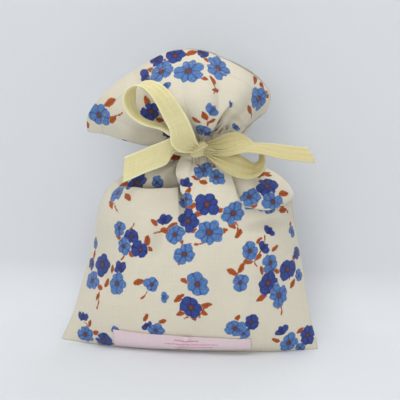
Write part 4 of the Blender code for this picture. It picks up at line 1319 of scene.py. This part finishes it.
def makeRibbon(material, surface):
    # the band, knot, loops and tails as one mesh, with painted shade near the knot, 0.16 e^(-(distance /
    # 9)^2) darker
    everyPoint, everyFace, everyUv, everyCap = [], [], [], []
    total = 0
    length = 0.0
    pieces = [bandStrip(), knotLump()]
    names = ["band", "knot"] + list(ribbonRuns)
    for name, route in ribbonRuns.items():
        rows = ribbonRows(route, surface)
        length += np.linalg.norm(np.diff(rows[:, 8], axis=0), axis=1).sum()
        pieces.append(makeStrip(rows, ribbonShape["thickness"], endCuts.get(name, 0.0)))
    tones = []
    for name, (points, faces, uv, caps) in zip(names, pieces):
        fromKnot = np.linalg.norm(points - np.array(ribbonShape["knot"]), axis=1)
        # painted shade: each run's painted lightness, less near the knot
        tones.append(ribbonPaintedTones[name] - 0.16 * np.exp(-((fromKnot / 9.0) ** 2)))
        everyPoint.append(points)
        everyFace.append(faces + total)
        everyUv.append(uv)
        everyCap += [tuple(i + total for i in f) for f in caps]
        total += len(points)
    ribbon = makeMesh(
        "ribbonBow",
        np.concatenate(everyPoint),
        np.concatenate(everyFace),
        np.concatenate(everyUv),
        {"paintedLightness": np.concatenate(tones)},
        everyCap,
    )
    ribbon.data.materials.append(material)
    print("ribbon: loops and tails run", round(length), "mm")
    return ribbon


def ribbonCloth(weave):
    # cream cloth with paler edges, with painted shade that makes it darker by 2.2 (1 - painted lightness)
    material, nodes, links, shader = newMaterial("creamRibbon", 0.55, 0.4)
    tone, cloth = addWeave(nodes, links, shader, weave, 2.8, 0.5, 0.3, 0.00010)
    parts = nodes.new("ShaderNodeSeparateXYZ")
    links.new(cloth, parts.inputs[0])
    middle = mathNode(nodes, links, "ABSOLUTE", mathNode(nodes, links, "SUBTRACT", parts.outputs[0], 5.0))
    edge = rangeOf(nodes, links, middle, 4.2, 4.5, 0.0, 1.0)
    thick = rangeOf(nodes, links, tone, -0.25, 0.25, 0.0, 1.0)
    body = mixColour(nodes, links, thick, linear((232, 221, 170)), linear((219, 206, 150)))
    colour = mixColour(nodes, links, edge, body, linear((240, 230, 184)))
    # painted shade from each point's painted lightness
    less = mathNode(nodes, links, "SUBTRACT", 1.0, attributeOf(nodes, "paintedLightness"))
    dim = mathNode(nodes, links, "MULTIPLY", less, 2.2)
    colour = mixColour(nodes, links, dim, colour, linear((172, 158, 104)))
    links.new(colour, shader.inputs["Base Color"])
    shader.inputs["Subsurface Weight"].default_value = 0.35
    shader.inputs["Subsurface Radius"].default_value = (1.0, 0.9, 0.5)
    shader.inputs["Subsurface Scale"].default_value = 0.0012
    return material


labelShape = {
    "left": -30.2,
    "right": 27.4,
    "leftTop": 9.2,
    "rightTop": 7.6,
    "rightLift": 2.0,
    "gap": 0.35,
    "thickness": 0.3,
    "wave": 0.35,
    "waveRate": 19.0,
    # creases: x, height, slant, reach and depth
    "creases": ((-2.0, 4.0, 1.1, 1.3, 0.55), (3.0, 3.0, -0.6, 1.8, 0.5)),
    # rows of marks: middle, reach along the strip, half height, and place up the strip
    "marks": ((31.0, 5.0, 0.62, 8.4), (33.0, 11.0, 0.42, 5.4), (34.0, 8.0, 0.38, 2.9)),
}


def makeLabel(material, outside):
    # for each x the front's profile (y, z) is followed from the floor up to the strip's top
    shape = labelShape
    steps, across = 120, 24
    half = pouchShape["frontColumns"]
    rows = outside[:38, : half + 1]
    rings = []
    for x in np.linspace(shape["left"], shape["right"], steps):
        share = (x - shape["left"]) / (shape["right"] - shape["left"])
        top = shape["leftTop"] + (shape["rightTop"] - shape["leftTop"]) * share ** 0.8
        profile = np.array([[np.interp(x, row[:, 0], row[:, k]) for k in (1, 2)] for row in rows])
        slope = np.gradient(profile, axis=0)
        out = np.stack([-slope[:, 1], slope[:, 0]], axis=1)
        out /= np.linalg.norm(out, axis=1, keepdims=True)
        wave = shape["wave"] * math.sin(share * shape["waveRate"]) * math.sin(share * math.pi)
        foot = 0.5 + shape["rightLift"] * share**2 + max(wave, 0.0)
        heights = np.linspace(foot, top + 0.4 * wave, across)
        inner = profile + out * shape["gap"]
        outer = profile + out * (shape["gap"] + shape["thickness"])
        crease = np.zeros(across)
        for at, level, slant, reach, depth in shape["creases"]:
            crease += depth * np.exp(-(((x - at) - slant * (heights - level)) / reach) ** 2)
        a = np.stack([np.interp(heights, outer[:, 1], outer[:, 0]) - crease, heights], axis=1)
        b = np.stack([np.interp(heights, inner[:, 1], inner[:, 0]) - crease, heights], axis=1)
        ring = np.concatenate([a, b[::-1]])
        rings.append(np.stack([np.full(len(ring), x), ring[:, 0], ring[:, 1]], axis=1))
    rings = np.array(rings)
    steps, count = rings.shape[:2]
    faces = gridFaces(steps, count, True)[:, ::-1]
    caps = stripCaps(steps, count, across)
    wide = np.linspace(0, 12, across)
    u = np.linspace(0, shape["right"] - shape["left"], steps)[:, None] + np.zeros(count)
    v = np.concatenate([wide, wide[::-1]])[None] + 0 * u
    uv = np.stack([u, v], axis=-1).reshape(-1, 2)
    label = makeMesh("sewnLabel", rings.reshape(-1, 3), faces, uv, None, caps)
    label.data.materials.append(material)
    print("label:", round(shape["right"] - shape["left"]), "mm along the bottom seam")
    return label


def labelSatin(weave):
    # pink satin with marks where a row is near and the noise is high
    material, nodes, links, shader = newMaterial("pinkSatin", 0.42, 0.2)
    tone, cloth = addWeave(nodes, links, shader, weave, 3.2, 0.4, 0.2, 0.00006)
    thick = rangeOf(nodes, links, tone, -0.25, 0.25, 0.0, 1.0)
    colour = mixColour(nodes, links, thick, linear((234, 214, 219)), linear((225, 200, 208)))
    # three rows of small marks, which stand for what is woven there
    parts = nodes.new("ShaderNodeSeparateXYZ")
    links.new(cloth, parts.inputs[0])
    for middle, reach, height, row in labelShape["marks"]:
        aside = mathNode(nodes, links, "SUBTRACT", parts.outputs[0], middle)
        aside = mathNode(nodes, links, "ABSOLUTE", aside)
        above = mathNode(nodes, links, "SUBTRACT", parts.outputs[1], row)
        above = mathNode(nodes, links, "ABSOLUTE", above)
        zone = mathNode(nodes, links, "LESS_THAN", aside, reach)
        line = rangeOf(nodes, links, above, height * 0.6, height * 1.3, 1.0, 0.0)
        noise = nodes.new("ShaderNodeTexNoise")
        noise.inputs["Scale"].default_value = 2.6
        links.new(cloth, noise.inputs["Vector"])
        broken = rangeOf(nodes, links, noise.outputs[0], 0.42, 0.5, 0.0, 0.8)
        mark = mathNode(nodes, links, "MULTIPLY", line, broken)
        mark = mathNode(nodes, links, "MULTIPLY", mark, zone)
        colour = mixColour(nodes, links, mark, colour, linear((196, 70, 116)))
    links.new(colour, shader.inputs["Base Color"])
    return material


# Stage: lengths in millimetres, the fade in metres from the middle
stageShape = {
    "wall": 44.0,
    "corner": 22.0,
    "side": 900.0,
    "tableSide": 3000.0,
    "tableDrop": 0.6,
    "fadeFrom": 0.28,
    "fadeTo": 0.6,
    "paper": (222, 225, 229),
    "room": (214, 219, 223),
}


def fadeFarAway(nodes, links, shader):
    # far from the middle the camera sees the room's own paleness, so the paper has no visible end
    place = nodes.new("ShaderNodeTexCoord")
    length = nodes.new("ShaderNodeVectorMath")
    length.operation = "LENGTH"
    links.new(place.outputs["Object"], length.inputs[0])
    rays = nodes.new("ShaderNodeLightPath")
    start, end = stageShape["fadeFrom"], stageShape["fadeTo"]
    far = rangeOf(nodes, links, length.outputs["Value"], start, end, 0.0, 1.0)
    plain = nodes.new("ShaderNodeEmission")
    plain.inputs["Color"].default_value = linear(stageShape["room"])
    mixed = nodes.new("ShaderNodeMixShader")
    links.new(mathNode(nodes, links, "MULTIPLY", far, rays.outputs["Is Camera Ray"]), mixed.inputs[0])
    links.new(shader.outputs[0], mixed.inputs[1])
    links.new(plain.outputs[0], mixed.inputs[2])
    return mixed.outputs[0]


def makeStage():
    # floor and backdrop: one sheet that turns up behind the object on a round corner
    wall = stageShape["wall"]
    corner = stageShape["corner"]
    side = stageShape["side"]
    t = np.linspace(0, math.pi / 2, 24)
    profile = np.concatenate([
        [(-side, 0.0)],
        np.stack([wall - corner + corner * np.sin(t), corner - corner * np.cos(t)], axis=1),
        [(wall, side)],
    ])
    x = np.array([-side, side])
    rows = np.array([[(sx, y, z) for sx in x] for y, z in profile])
    made = makeMesh("paperSweep", rows.reshape(-1, 3), gridFaces(len(rows), 2, False))
    material, nodes, links, shader = newMaterial("palePaper", 0.9)
    shader.inputs["Base Color"].default_value = linear(stageShape["paper"])
    # from behind, and for the light behind it, the sheet isn't there, so the pouch's back can be seen
    behind = nodes.new("ShaderNodeNewGeometry")
    rays = nodes.new("ShaderNodeLightPath")
    through = mathNode(nodes, links, "MAXIMUM", behind.outputs["Backfacing"], rays.outputs["Is Shadow Ray"])
    clear = nodes.new("ShaderNodeBsdfTransparent")
    mixed = nodes.new("ShaderNodeMixShader")
    links.new(through, mixed.inputs[0])
    links.new(fadeFarAway(nodes, links, shader), mixed.inputs[1])
    links.new(clear.outputs[0], mixed.inputs[2])
    links.new(mixed.outputs[0], nodes["Material Output"].inputs["Surface"])
    made.data.materials.append(material)
    # the table runs on behind the sweep and all round
    far = stageShape["tableSide"]
    low = -stageShape["tableDrop"]
    corners = np.array([(-far, -far, low), (far, -far, low), (far, far, low), (-far, far, low)])
    table = makeMesh("paleTable", corners, np.array([(0, 1, 2, 3)]))
    plain, nodes, links, shader = newMaterial("paleTable", 0.9)
    shader.inputs["Base Color"].default_value = linear(stageShape["paper"])
    links.new(fadeFarAway(nodes, links, shader), nodes["Material Output"].inputs["Surface"])
    table.data.materials.append(plain)
    print("stage: a sweep and a table")


# Lights: place, size, power and colour, all aimed at the pouch's middle
lights = {
    "softAbove": ((0.0, -0.20, 0.80), 0.60, 2.9, (1.0, 0.985, 0.96)),
    "softFront": ((0.0, -0.85, 0.36), 0.70, 2.9, (1.0, 0.99, 0.97)),
    "softBehind": ((0.20, 0.70, 0.45), 0.60, 1.2, (0.97, 0.99, 1.0)),
}
roomLight = {"aim": (0.0, 0.0, 0.06), "colour": (0.86, 0.90, 0.93, 1.0), "strength": 0.36}


def makeLight(name, place, aim, size, power, colour):
    # a round area light at its place, turned to its aim
    data = bpy.data.lights.new(name, "AREA")
    data.shape = "DISK"
    data.size = size
    data.energy = power
    data.color = colour
    made = bpy.data.objects.new(name, data)
    made.location = place
    made.rotation_mode = "QUATERNION"
    made.rotation_quaternion = (Vector(place) - Vector(aim)).to_track_quat("Z", "Y")
    bpy.context.scene.collection.objects.link(made)


def makeLights():
    # the lights, and a pale room
    for name, (place, size, power, colour) in lights.items():
        makeLight(name, place, roomLight["aim"], size, power, colour)
    world = bpy.data.worlds.new("softRoom")
    world.use_nodes = True
    shade = world.node_tree.nodes["Background"]
    shade.inputs["Color"].default_value = roomLight["colour"]
    shade.inputs["Strength"].default_value = roomLight["strength"]
    # what is seen past the sweep is as light as the paper
    links = world.node_tree.links
    far = world.node_tree.nodes.new("ShaderNodeBackground")
    far.inputs["Color"].default_value = linear(stageShape["room"])
    rays = world.node_tree.nodes.new("ShaderNodeLightPath")
    mixed = world.node_tree.nodes.new("ShaderNodeMixShader")
    links.new(rays.outputs["Is Camera Ray"], mixed.inputs[0])
    links.new(shade.outputs[0], mixed.inputs[1])
    links.new(far.outputs[0], mixed.inputs[2])
    links.new(mixed.outputs[0], world.node_tree.nodes["World Output"].inputs["Surface"])
    print("lights: two in front, one behind, and a pale room")
    bpy.context.scene.world = world


makeCamera()
weave = weaveGroup()
ink = inkGroup()
seam = seamGroup()
pouch, outside = makePouch(printedCotton(weave, ink, seam))
ribbon = makeRibbon(ribbonCloth(weave), outside.reshape(-1, 3))
label = makeLabel(labelSatin(weave), outside)
makeStage()
makeLights()

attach(pouch, "root")
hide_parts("pouch")
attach(ribbon, "root")
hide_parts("ribbon")
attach(label, "root")
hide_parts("label")
bpy.context.view_layer.update()
